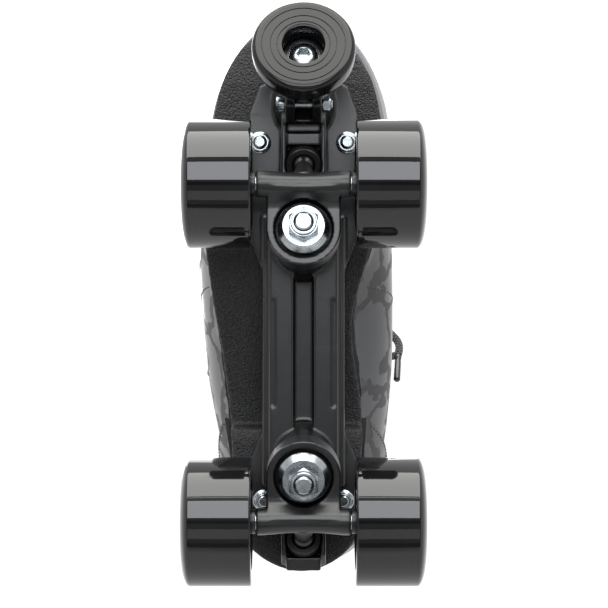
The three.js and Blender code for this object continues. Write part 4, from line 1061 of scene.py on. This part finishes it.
# The boot is drawn from the middle of the wheelbase, with heights above the plate.
wheelbase_middle = (middle("front_axle").y + middle("rear_axle").y) / 2
boot_place = at(0, wheelbase_middle, sole_height)
ahead, behind = 200, -140
edge_outline = [
    (2, 158.5),
    (24, 148),
    (37, 130),
    (43.5, 104),
    (47.5, 66),
    (43.6, 28),
    (38.4, -3),
    (34.5, -36),
    (32.5, -60),
    (26, -92),
    (0.5, -104.4),
    (-23.5, -91),
    (-26.6, -60),
    (-27.6, -28),
    (-22.8, 12),
    (-31, 46),
    (-38.5, 76),
    (-36.5, 110),
    (-27, 137),
]
sole_top = along(
    [(-104, 23.5), (-55, 23), (-30, 20.5), (0, 14), (30, 9), (60, 7), (125, 7.5), (160, 11)]
)
arch_bottom = along([(-37, 14.5), (-20, 12.8), (0, 8.6), (22, 3.4), (46, 0)])
side_on = Matrix(((0, 0, 1, 0), (1, 0, 0, 0), (0, 1, 0, 0), (0, 0, 0, 1)))


def smooth_loop(points, steps):
    # A closed curve through the points, as more points.
    result = []
    count = len(points)
    for i in range(count):
        a, b, c, d = (Vector(points[(i + k) % count]) for k in (-1, 0, 1, 2))
        for k in range(steps):
            t = k / steps
            result.append(
                tuple(
                    (b * 2 + (c - a) * t + (a * 2 - b * 5 + c * 4 - d) * t * t
                     + (b * 3 - a - c * 3 + d) * t ** 3) / 2
                )
            )
    return result


def spaced(low, high, count):
    return [low + (high - low) * i / count for i in range(count + 1)]


def side_cut(name, outline):
    return prism(name, outline, -90, 90, boot_place @ side_on)


column = prism("outsole_moulding", smooth_loop(edge_outline, 8), -1, 45, boot_place)
under = [(behind, 0.3), (-42, 0.3), (-37.5, 1.2), (-36.5, 4)]
under += [(y, arch_bottom(y) + 0.3) for y in spaced(-36, 46, 24)]
under += [(126, 0.3), (145, 1.9), (ahead, 6.3)]
upper_edge = [(y, sole_top(y) + 0.3) for y in spaced(ahead, behind, 60)]
outsole = combine(column, "INTERSECT", side_cut("sole_side", under + upper_edge))
moulded(outsole, 0.95, 4)


def bolt_holes(piece, radius):
    for end in ("front", "rear"):
        for side in sides:
            centre = middle(f"{end}_{side}_sole_bolt")
            hole_outline = [(0, 60), (radius, 60), (radius, 130), (0, 130)]
            hole = turned_piece("bolt_hole", hole_outline, at(centre.x, centre.y, 0), 32)
            combine(piece, "DIFFERENCE", hole)


bolt_holes(outsole, 2.8)
sole_rubber = bpy.data.materials.new("sole_rubber")
sole_rubber.use_nodes = True
tree = sole_rubber.node_tree
shader = tree.nodes["Principled BSDF"]
shader.inputs["Specular IOR Level"].default_value = 0.34
coordinates = tree.nodes.new("ShaderNodeTexCoord")
cells = tree.nodes.new("ShaderNodeTexVoronoi")
cells.feature = "SMOOTH_F1"
cells.inputs["Scale"].default_value = 1250
cells.inputs["Smoothness"].default_value = 0.4
veins = tree.nodes.new("ShaderNodeTexNoise")
veins.inputs["Scale"].default_value = 900
veins.inputs["Detail"].default_value = 4
heights = tree.nodes.new("ShaderNodeMath")
heights.operation = "MULTIPLY_ADD"
heights.inputs[1].default_value = -0.8
relief = tree.nodes.new("ShaderNodeBump")
relief.inputs["Distance"].default_value = 0.42 * MM
shine = tree.nodes.new("ShaderNodeMapRange")
shine.inputs["From Min"].default_value = 0.35
shine.inputs["From Max"].default_value = 0.65
shine.inputs["To Min"].default_value = 0.42
shine.inputs["To Max"].default_value = 0.6
# The pebbles' colour follows the same cells as their bump: their tops are painted lighter, as painted
# highlight, and the hollows between them darker, as painted shade.
tint = tree.nodes.new("ShaderNodeValToRGB")
tint.color_ramp.elements[0].position = 0.3
tint.color_ramp.elements[0].color = (0.014, 0.014, 0.015, 1)
tint.color_ramp.elements[1].position = 0.7
tint.color_ramp.elements[1].color = (0.004, 0.004, 0.0045, 1)
tree.links.new(coordinates.outputs["Object"], cells.inputs["Vector"])
tree.links.new(coordinates.outputs["Object"], veins.inputs["Vector"])
tree.links.new(cells.outputs["Distance"], heights.inputs[0])
tree.links.new(veins.outputs["Fac"], heights.inputs[2])
tree.links.new(heights.outputs[0], relief.inputs["Height"])
tree.links.new(veins.outputs["Fac"], shine.inputs["Value"])
tree.links.new(cells.outputs["Distance"], tint.inputs["Fac"])
tree.links.new(relief.outputs["Normal"], shader.inputs["Normal"])
tree.links.new(shine.outputs["Result"], shader.inputs["Roughness"])
tree.links.new(tint.outputs["Color"], shader.inputs["Base Color"])
stand_for(outsole, "outsole", sole_rubber)

# ---------------------------------------------------------------- upper
# The upper is sewn from glossy coated vinyl printed in tone-on-tone patches, over a stiff lining.
# It is lasted round the foot and glued down on the sole. A toe cap, an eyestay and a heel counter
# are laid over it and stitched along their edges.

front_line = along(
    [
        (3, 156.5),
        (17, 159.5),
        (29, 157),
        (38, 150),
        (44, 140),
        (50, 122),
        (56, 98),
        (64, 74),
        (75, 52),
        (91, 29),
        (109, 13),
        (129, 4),
        (147, 0),
        (175, -5),
        (205, -10),
    ]
)
back_line = along(
    [
        (3, -98),
        (23, -101),
        (43, -104.6),
        (65, -103.5),
        (90, -98.5),
        (115, -97),
        (140, -99),
        (175, -102),
        (205, -104),
    ]
)
front_round = along(
    [
        (3, 62),
        (29, 64),
        (37, 85),
        (44, 108),
        (60, 112),
        (75, 98),
        (91, 76),
        (109, 56),
        (129, 47),
        (175, 43),
        (205, 43),
    ]
)
widest = {
    1: along(
        [
            (-104, 37.5),
            (-68, 37.5),
            (-50, 40),
            (-32, 43.5),
            (-18, 46),
            (12, 48.6),
            (47, 51),
            (62, 50.4),
            (82, 47),
            (97, 44.5),
            (160, 44),
        ]
    ),
    -1: along(
        [
            (-104, 37.5),
            (-68, 38),
            (-50, 39.3),
            (-35, 41.2),
            (-6, 43.3),
            (47, 43),
            (80, 42),
            (97, 41),
            (160, 41),
        ]
    ),
}
tucked = {
    1: along([(-104, 5), (-50, 7), (-18, 9), (12, 8), (47, 5), (70, 2), (97, 1), (160, 1)]),
    -1: along(
        [
            (-104, 8),
            (-50, 12.8),
            (-18, 16),
            (12, 20.5),
            (32, 17.5),
            (47, 11.5),
            (75, 4),
            (97, 3),
            (160, 4),
        ]
    ),
}
narrowing = along([(3, 1), (55, 1), (75, 0.98), (100, 0.98), (130, 0.96), (157, 1), (205, 1.04)])
bulge_height, heel_round = 28, 37


def rounding(distance, length):
    t = min(max(distance / length, 0), 1)
    return math.sqrt(1 - (1 - t) ** 2)


def last_level(height, inset):
    # A level loop of the foot's outside, drawn in by inset: its height, ends and half-width.
    slope = front_line(height + 0.5) - front_line(height - 0.5)
    size = math.hypot(1, slope)
    z = height + inset * slope / size
    foremost = front_line(height) - inset / size
    rearmost = back_line(z) + inset
    long = front_round(height) - inset

    def half_width(sign, y):
        low = min(max((z - sole_top(y)) / bulge_height, 0), 1)
        full = widest[sign](y) * narrowing(z) - tucked[sign](y) * (1 - low) ** 2 - inset
        return full * rounding(foremost - y, long) * rounding(y - rearmost, heel_round - inset)

    return z, foremost, rearmost, half_width


def heights_along_front(top, count):
    samples = spaced(3, top, 600)
    reach = [0]
    for a, b in zip(samples, samples[1:]):
        reach.append(reach[-1] + math.hypot(b - a, front_line(b) - front_line(a)))
    result = []
    i = 0
    for k in range(count + 1):
        while i < 600 and reach[i] < reach[-1] * k / count - 1e-9:
            i += 1
        result.append(samples[i])
    return result


# The foot's outside, drawn in by inset, as a closed body: a tube of levels with flat ends.
def last_body(name, inset, rows=96, around=112, top=185):
    bpy.ops.object.select_all(action="DESELECT")
    bpy.ops.mesh.primitive_cylinder_add(vertices=around, end_fill_type="NGON")
    piece = bpy.context.object
    piece.name = name
    bpy.ops.object.mode_set(mode="EDIT")
    bpy.ops.mesh.select_mode(type="EDGE")
    bpy.ops.mesh.select_all(action="DESELECT")
    bpy.ops.object.mode_set(mode="OBJECT")
    for edge in piece.data.edges:
        a, b = (piece.data.vertices[k].co for k in edge.vertices)
        edge.select = abs(a.z - b.z) > 0.1
    bpy.ops.object.mode_set(mode="EDIT")
    bpy.ops.mesh.subdivide_edgering(number_cuts=rows - 1, interpolation="LINEAR")
    bpy.ops.mesh.select_mode(type="VERT")
    bpy.ops.object.mode_set(mode="OBJECT")
    tallest = heights_along_front(top, rows)
    loops = [last_level(height, inset) for height in tallest]
    for vertex in piece.data.vertices:
        row = round((vertex.co.z + 1) / 2 * rows)
        z, foremost, rearmost, half_width = loops[row]
        turned_by = math.atan2(vertex.co.x, vertex.co.y)
        share = (1 - math.cos(turned_by)) / 2
        y = foremost + (rearmost - foremost) * share
        sign = 1 if turned_by >= 0 else -1
        x = sign * half_width(sign, y)
        vertex.co = (x * MM, y * MM, z * MM)
    piece.data.transform(boot_place)
    bpy.ops.object.mode_set(mode="EDIT")
    bpy.ops.mesh.select_all(action="SELECT")
    bpy.ops.mesh.normals_make_consistent(inside=False)
    bpy.ops.object.mode_set(mode="OBJECT")
    return piece


def shell(name, outer, inner):
    return combine(last_body(name, outer), "DIFFERENCE", last_body("inside", inner))


def under_sole(clearance):
    line = [(y, sole_top(y) + clearance) for y in spaced(ahead, behind, 60)]
    return side_cut("under_sole", [(behind, -60), (ahead, -60), *line])


def above(name, line, low=behind, high=ahead):
    return side_cut(name, [(y, line(y)) for y in spaced(low, high, 60)] + [(high, 260), (low, 260)])


collar_line = along([(-110, 158), (-85, 154), (-55, 147), (-25, 151), (0, 161), (30, 163)])
throat_base = 50


def throat_cut(grow):
    half = 10 + grow
    plan = [(14 + grow, -40), (14 + grow, 0), (12.5 + grow, 30), (half, 60)]
    plan += [(half * math.cos(a), 60 + half * math.sin(a)) for a in spaced(0.15, math.pi - 0.15, 16)]
    plan += [(-half, 60), (-12.5 - grow, 30), (-14 - grow, 0), (-14 - grow, -40)]
    return prism("throat", plan, throat_base, 260, boot_place)


upper = shell("upper_vinyl", 0, 4)
combine(upper, "DIFFERENCE", under_sole(0.6), above("over_collar", collar_line), throat_cut(0))
shade(upper, 30)


# Coated vinyl: large glossy patches parted by narrow matt channels, over a fine leather grain.
def printed_vinyl(name, channel, patch, patch_scale):
    material = bpy.data.materials.new(name)
    material.use_nodes = True
    tree = material.node_tree
    shader = tree.nodes["Principled BSDF"]
    shader.inputs["Coat Roughness"].default_value = 0.12
    coordinates = tree.nodes.new("ShaderNodeTexCoord")
    stretched = tree.nodes.new("ShaderNodeMapping")
    stretched.inputs["Scale"].default_value = (1, 0.55, 0.9)
    ragged = tree.nodes.new("ShaderNodeTexNoise")
    ragged.inputs["Scale"].default_value = 90
    ragged.inputs["Detail"].default_value = 2.5
    shifted = tree.nodes.new("ShaderNodeVectorMath")
    shifted.operation = "MULTIPLY_ADD"
    shifted.inputs[1].default_value = (0.014, 0.014, 0.014)
    cells = tree.nodes.new("ShaderNodeTexVoronoi")
    cells.feature = "DISTANCE_TO_EDGE"
    cells.inputs["Scale"].default_value = patch_scale
    inside = tree.nodes.new("ShaderNodeMapRange")
    inside.inputs["From Min"].default_value = 0.06
    inside.inputs["From Max"].default_value = 0.075
    shade_of = tree.nodes.new("ShaderNodeTexNoise")
    shade_of.inputs["Scale"].default_value = patch_scale * 0.8
    light_patch = tree.nodes.new("ShaderNodeValToRGB")
    light_patch.color_ramp.interpolation = "CONSTANT"
    light_patch.color_ramp.elements[0].color = (*patch[0], 1)
    light_patch.color_ramp.elements[1].position = 0.5
    light_patch.color_ramp.elements[1].color = (*patch[1], 1)
    colour = tree.nodes.new("ShaderNodeMix")
    colour.data_type = "RGBA"
    colour.inputs[6].default_value = (*channel, 1)
    dull = tree.nodes.new("ShaderNodeMapRange")
    dull.inputs["To Min"].default_value = 0.5
    dull.inputs["To Max"].default_value = 0.34
    coat = tree.nodes.new("ShaderNodeMapRange")
    coat.inputs["To Min"].default_value = 0.1
    coat.inputs["To Max"].default_value = 0.55
    skin = tree.nodes.new("ShaderNodeGroup")
    skin.node_tree = moulded_skin
    skin.inputs["Grain Scale"].default_value = 1500
    skin.inputs["Patch Scale"].default_value = 70
    raised = tree.nodes.new("ShaderNodeMath")
    raised.operation = "MULTIPLY_ADD"
    raised.inputs[1].default_value = 2.5
    relief = tree.nodes.new("ShaderNodeBump")
    relief.inputs["Distance"].default_value = 0.04 * MM
    tree.links.new(coordinates.outputs["Object"], ragged.inputs["Vector"])
    tree.links.new(ragged.outputs["Color"], shifted.inputs[0])
    tree.links.new(coordinates.outputs["Object"], stretched.inputs["Vector"])
    tree.links.new(stretched.outputs["Vector"], shifted.inputs[2])
    tree.links.new(shifted.outputs["Vector"], cells.inputs["Vector"])
    tree.links.new(shifted.outputs["Vector"], shade_of.inputs["Vector"])
    tree.links.new(cells.outputs["Distance"], inside.inputs["Value"])
    tree.links.new(shade_of.outputs["Fac"], light_patch.inputs["Fac"])
    tree.links.new(inside.outputs["Result"], colour.inputs["Factor"])
    tree.links.new(light_patch.outputs["Color"], colour.inputs[7])
    tree.links.new(inside.outputs["Result"], dull.inputs["Value"])
    tree.links.new(inside.outputs["Result"], coat.inputs["Value"])
    tree.links.new(inside.outputs["Result"], raised.inputs[0])
    tree.links.new(skin.outputs["Grain"], raised.inputs[2])
    tree.links.new(raised.outputs[0], relief.inputs["Height"])
    tree.links.new(colour.outputs[2], shader.inputs["Base Color"])
    tree.links.new(dull.outputs["Result"], shader.inputs["Roughness"])
    tree.links.new(coat.outputs["Result"], shader.inputs["Coat Weight"])
    tree.links.new(relief.outputs["Normal"], shader.inputs["Normal"])
    return material


vinyl = printed_vinyl(
    "upper_vinyl_print", (0.014, 0.0145, 0.0165), [(0.015, 0.0155, 0.018), (0.02, 0.021, 0.024)], 46
)
trim_vinyl = skinned(
    "upper_vinyl_trim",
    [(0.011, 0.011, 0.012), (0.017, 0.017, 0.019)],
    (0.2, 0.34),
    1500,
    0.035,
    50,
    scratch=0.15,
)
trim_vinyl.node_tree.nodes["Principled BSDF"].inputs["Coat Weight"].default_value = 0.4
stand_for(upper, "boot_upper", vinyl)

# The toe cap, cut to a shallow curve over the toes.
cap_line = [(x, 118 - 17 * (x / 45) ** 2) for x in spaced(-75, 75, 30)]
toe_cap = shell("toe_cap_panel", -1.3, 0.3)
behind_cap = prism("behind_cap", [(-75, behind), (75, behind), *reversed(cap_line)], -20, 260, boot_place)
combine(toe_cap, "DIFFERENCE", behind_cap, under_sole(0.7))
shade(toe_cap, 30)
go_with(toe_cap, "boot_upper", trim_vinyl)

# The eyestay, a band round the throat that the eyelets are set in.
eyestay = shell("eyestay_panel", -1.2, 0.3)
combine(eyestay, "INTERSECT", throat_cut(12))
combine(eyestay, "DIFFERENCE", throat_cut(0.4), above("over_eyestay", lambda y: collar_line(y) - 0.6))
shade(eyestay, 30)
go_with(eyestay, "boot_upper", trim_vinyl)

# The heel counter, whose front edge sweeps down to the sole at the arch.
counter_edge = along([(-140, 75), (-90, 71), (-60, 53), (-38, 29), (-30, 17)])
counter = shell("heel_counter_panel", -2.2, -0.3)
ahead_of_counter = box_piece("ahead_of_counter", (-80, -31.5, -60), (80, 200, 260), boot_place)
combine(
    counter,
    "DIFFERENCE",
    under_sole(0.6),
    above("over_counter", counter_edge, behind, -30),
    ahead_of_counter,
)
shade(counter, 30)
stand_for(counter, "heel_counter", vinyl)


# Where the upper's outside is at a height on one side, set a little out from it.
def on_upper(sign, height, y, lift=0):
    z, foremost, rearmost, half_width = last_level(height, -lift)
    return Vector((sign * half_width(sign, y), y, z))


def height_over(y, x):
    # The height at which the upper's top surface is at y, off the middle by x.
    low, high = 20.0, 185.0
    for _ in range(30):
        mid = (low + high) / 2
        z, foremost, rearmost, half_width = last_level(mid, 0)
        inside = foremost > y and half_width(1 if x > 0 else -1, y) > abs(x)
        low, high = (mid, high) if inside else (low, mid)
    return low


# A row of thread stitches along a line of points, sunk halfway in the vinyl.
def stitched(name, line, pitch=2.7, thick=0.32):
    bpy.ops.object.select_all(action="DESELECT")
    bpy.ops.mesh.primitive_uv_sphere_add(segments=8, ring_count=6, radius=1)
    row = bpy.context.object
    row.name = name
    one = row.data.copy()
    pieces = []
    carried = 0.0
    for a, b in zip(line, line[1:]):
        step = (b - a).length
        while carried < step:
            spot = a.lerp(b, carried / step)
            lie = (b - a).to_track_quat("X", "Z").to_matrix().to_4x4()
            size = Matrix.Diagonal((pitch * 0.36 * MM, thick * MM, thick * MM, 1))
            stitch = bpy.data.objects.new("stitch", one.copy())
            stitch.data.transform(boot_place @ Matrix.Translation(spot * MM) @ lie @ size)
            bpy.context.scene.collection.objects.link(stitch)
            pieces.append(stitch)
            carried += pitch
        carried -= step
    row.data = pieces[0].data.copy()
    bpy.ops.object.select_all(action="DESELECT")
    for stitch in pieces[1:]:
        stitch.select_set(True)
    row.select_set(True)
    bpy.context.view_layer.objects.active = row
    bpy.ops.object.join()
    bpy.data.objects.remove(pieces[0])
    for polygon in row.data.polygons:
        polygon.use_smooth = True
    go_with(row, "boot_upper", thread_grey)


thread_grey = skinned("thread", [(0.03, 0.03, 0.033), (0.055, 0.055, 0.06)], (0.55, 0.7), 2400, 0.05, 300)
cap_seam = []
for x, y in cap_line:
    if abs(x) < 46:
        y = y + 2.2
        height = height_over(y, x)
        if height > sole_top(y) + 3:
            cap_seam.append(Vector((x, y, height + 1.25)))
stitched("toe_cap_stitches", cap_seam)
for sign, side in ((1, "right"), (-1, "left")):
    edge = [on_upper(sign, counter_edge(y) - 3, y, 2.25) for y in spaced(-98, -36, 40)]
    stitched(f"counter_stitches_{side}", edge)
    brim = [on_upper(sign, collar_line(y) - 4, y, 0.05) for y in spaced(-92, -22, 36)]
    stitched(f"collar_stitches_{side}", brim)
    stay = []
    for y, half in ((62, 20.5), (50, 21.3), (30, 22.2), (15, 22.8), (5, 23.2)):
        stay.append(Vector((sign * half, y, height_over(y, sign * half) + 1.1)))
    stitched(f"eyestay_stitches_{side}", stay)
    quarter = []
    for h in spaced(14, 66, 24):
        quarter_y = 30 - 0.12 * (h - 14) - 18 * ((h - 14) / 60) ** 2
        quarter.append(on_upper(sign, h, quarter_y, 0.05))
    stitched(f"quarter_stitches_{side}", quarter)

# ---------------------------------------------------------------- footbed
# A thin foam insole covered in knitted cloth lies in the boot on the sole, over the bolt heads'
# seats. It is cut to the inside of the upper.

lining = skinned("lining", [(0.012, 0.012, 0.013), (0.022, 0.022, 0.024)], (0.75, 0.92), 1300, 0.22, 90)
lining.node_tree.nodes["Principled BSDF"].inputs["Sheen Weight"].default_value = 0.25
footbed = last_body("footbed_insole", 4.3)
combine(footbed, "INTERSECT", under_sole(3.6))
combine(footbed, "DIFFERENCE", under_sole(0.6))
bolt_holes(footbed, 2.8)
shade(footbed, 35)
stand_for(footbed, "footbed", lining)

# ---------------------------------------------------------------- tongue and collar padding
# The tongue and the collar roll are foam in cloth-backed vinyl and soft lining. They are sewn shut
# round the edge, so they swell between their seams.


def stuffed(piece, voxel, swell, pinned):
    bpy.ops.object.select_all(action="DESELECT")
    piece.select_set(True)
    bpy.context.view_layer.objects.active = piece
    skin = piece.modifiers.new("skin", "REMESH")
    skin.mode = "VOXEL"
    skin.voxel_size = voxel * MM
    bpy.ops.object.modifier_apply(modifier=skin.name)
    group = piece.vertex_groups.new(name="seams")
    seams = [v.index for v in piece.data.vertices if pinned(v.co / MM)]
    group.add(seams, 1.0, "REPLACE")
    rest = [v.co.copy() for v in piece.data.vertices]
    cloth = piece.modifiers.new("cloth", "CLOTH")
    cloth.settings.vertex_group_mass = group.name
    cloth.settings.use_pressure = True
    cloth.settings.uniform_pressure_force = 4
    cloth.settings.effector_weights.gravity = 0
    for frame_number in range(1, 21):
        bpy.context.scene.frame_set(frame_number)
    seen_now = piece.evaluated_get(bpy.context.evaluated_depsgraph_get()).to_mesh()
    filled = [v.co.copy() for v in seen_now.vertices]
    piece.modifiers.remove(cloth)
    bpy.context.scene.frame_set(1)
    for vertex, start, end in zip(piece.data.vertices, rest, filled):
        moved = end - start
        if moved.length > swell * MM:
            moved = moved.normalized() * swell * MM
        vertex.co = start + moved
    piece.vertex_groups.clear()
    rounded = piece.modifiers.new("rounded", "SMOOTH")
    rounded.iterations = 2
    bpy.ops.object.modifier_apply(modifier=rounded.name)
    finer = piece.modifiers.new("finer", "SUBSURF")
    finer.levels = 1
    finer.render_levels = 1
    bpy.ops.object.modifier_apply(modifier=finer.name)
    for polygon in piece.data.polygons:
        polygon.use_smooth = True


tongue_half, tongue_back, tongue_front, tongue_top = 26, -21, 64, 170
tongue = shell("tongue_padded", 5.9, 8.9)
tongue_plan = [
    (tongue_half, tongue_back),
    (tongue_half, tongue_front - 27),
    (tongue_half * 0.72, tongue_front),
    (-tongue_half * 0.72, tongue_front),
    (-tongue_half, tongue_front - 27),
    (-tongue_half, tongue_back),
]
combine(tongue, "INTERSECT", prism("tongue_plan", tongue_plan, 42, tongue_top, boot_place))
stuffed(tongue, 1.5, 1.5, lambda at_mm: abs(abs(at_mm.x) - 19.5) < 0.9)
stand_for(tongue, "tongue", trim_vinyl)

collar = shell("collar_roll", 6.1, 9.3)
under_collar = box_piece("under_collar", (-80, behind, -60), (80, 200, 104.5), boot_place)
ahead_of_collar = box_piece("ahead_of_collar", (-80, tongue_back - 2, -60), (80, 200, 260), boot_place)
over_collar = above("over_collar", lambda y: collar_line(y) - 1.5)
combine(collar, "DIFFERENCE", under_collar, ahead_of_collar, over_collar)
roll_seam = sole_height + 128
stuffed(collar, 1.5, 1.8, lambda at_mm: abs(at_mm.z - roll_seam) < 1.2)
stand_for(collar, "collar_pad", lining)

# ---------------------------------------------------------------- lacing
# A round braided lace crosses the throat between two rows of black eyelets and is tied in a bow
# over the tongue.

eyelet_rows, eyelet_x = 6, 18


def eyelet_place(row, sign):
    # The eyelet's middle on the upper and the way that its face looks out.
    span = [h for h in heights_along_front(138, 300) if h >= 68]
    height = span[round((len(span) - 1) * row / (eyelet_rows - 1))]
    z, foremost, rearmost, half_width = last_level(height, 0)
    share = min(eyelet_x / widest[sign](foremost - 20), 1)
    y = foremost - front_round(height) * (1 - math.sqrt(1 - share * share))
    slope = front_line(height + 0.5) - front_line(height - 0.5)
    outward = Vector((sign * 0.5, 1, -slope)).normalized()
    return Vector((sign * half_width(sign, y), y, z)), outward


eyelet_outline = soften([(1.9, -0.6), (3.6, -0.6), (3.9, -0.2), (3.3, 0.6), (2.3, 0.7), (1.9, 0.2)], 0.25)
eyelet_black = skinned("eyelet_enamel", [(0.02, 0.02, 0.021), (0.03, 0.03, 0.032)], (0.25, 0.35), 1800, 0.01)
for row in range(eyelet_rows):
    for sign, side in ((1, "right"), (-1, "left")):
        spot, outward = eyelet_place(row, sign)
        lie = outward.to_track_quat("Z", "Y").to_matrix().to_4x4()
        place = boot_place @ Matrix.Translation((spot + outward * 1.5) * MM) @ lie
        eyelet = turned_piece(f"eyelet_{side}_{row + 1}", eyelet_outline, place, 32)
        go_with(eyelet, "boot_upper", eyelet_black)


def laced(row, sign):
    spot, outward = eyelet_place(row, sign)
    return spot + outward * 3.5, spot + outward * 0.2


spans = [((0, -1), (0, 1))]
for row in range(eyelet_rows - 1):
    spans += [((row, -1), (row + 1, 1)), ((row, 1), (row + 1, -1))]
spans.append(((eyelet_rows - 1, -1), (eyelet_rows - 1, 1)))
pieces = []
for number, (a, b) in enumerate(spans):
    (over_a, under_a), (over_b, under_b) = laced(*a), laced(*b)
    centre = (over_a + over_b) / 2
    slope = front_line(centre.z + 0.5) - front_line(centre.z - 0.5)
    outward = Vector((0, 1, -slope)).normalized()
    lift = 3.9 + (0.9 if number % 2 else 0)
    route = [under_a, over_a, over_a.lerp(over_b, 0.3) + outward * lift * 0.75]
    route += [centre + outward * lift, over_a.lerp(over_b, 0.7) + outward * lift * 0.75, over_b, under_b]
    pieces.append(braided_lace(f"span_{number}", [boot_place @ (p * MM) for p in route]))
# The knot: a short turn of lace wrapped round the two bights of the bow.
wrap = [(0, -4.4, -3.6), (-0.8, -1, -5.2), (-0.6, 3.4, -4), (0, 5.2, 0), (0.6, 3.6, 4), (0.8, -0.6, 5.2)]
wrap += [(0, -4.2, 3.8), (-0.2, -5.6, 0)]
for shift in (-2, 1.9):
    ring_route = [knot + Vector((x + shift, y, z)) * MM for x, y, z in wrap]
    pieces.append(braided_lace(f"wrap_{shift}", ring_route + ring_route[:1]))
core = [(-6, 1, 1), (-3, 0.4, 1.6), (0, 0, 0.8), (3, 0.4, 1.6), (6, 1, 1)]
pieces.append(braided_lace("bights", [knot + Vector(p) * MM for p in core]))
tail = [(-5, 3, -2.4), (-2, 1.2, -2.8), (0, 0.6, -2.2), (2, 1.2, -2.8), (5, 3, -2.4)]
pieces.append(braided_lace("tails", [knot + Vector(p) * MM for p in tail]))
bpy.ops.object.select_all(action="DESELECT")
for piece in pieces:
    piece.select_set(True)
lacing = pieces[0]
bpy.context.view_layer.objects.active = lacing
bpy.ops.object.join()
lacing.name = "lacing_braided"
stand_for(lacing, "lacing", braid)
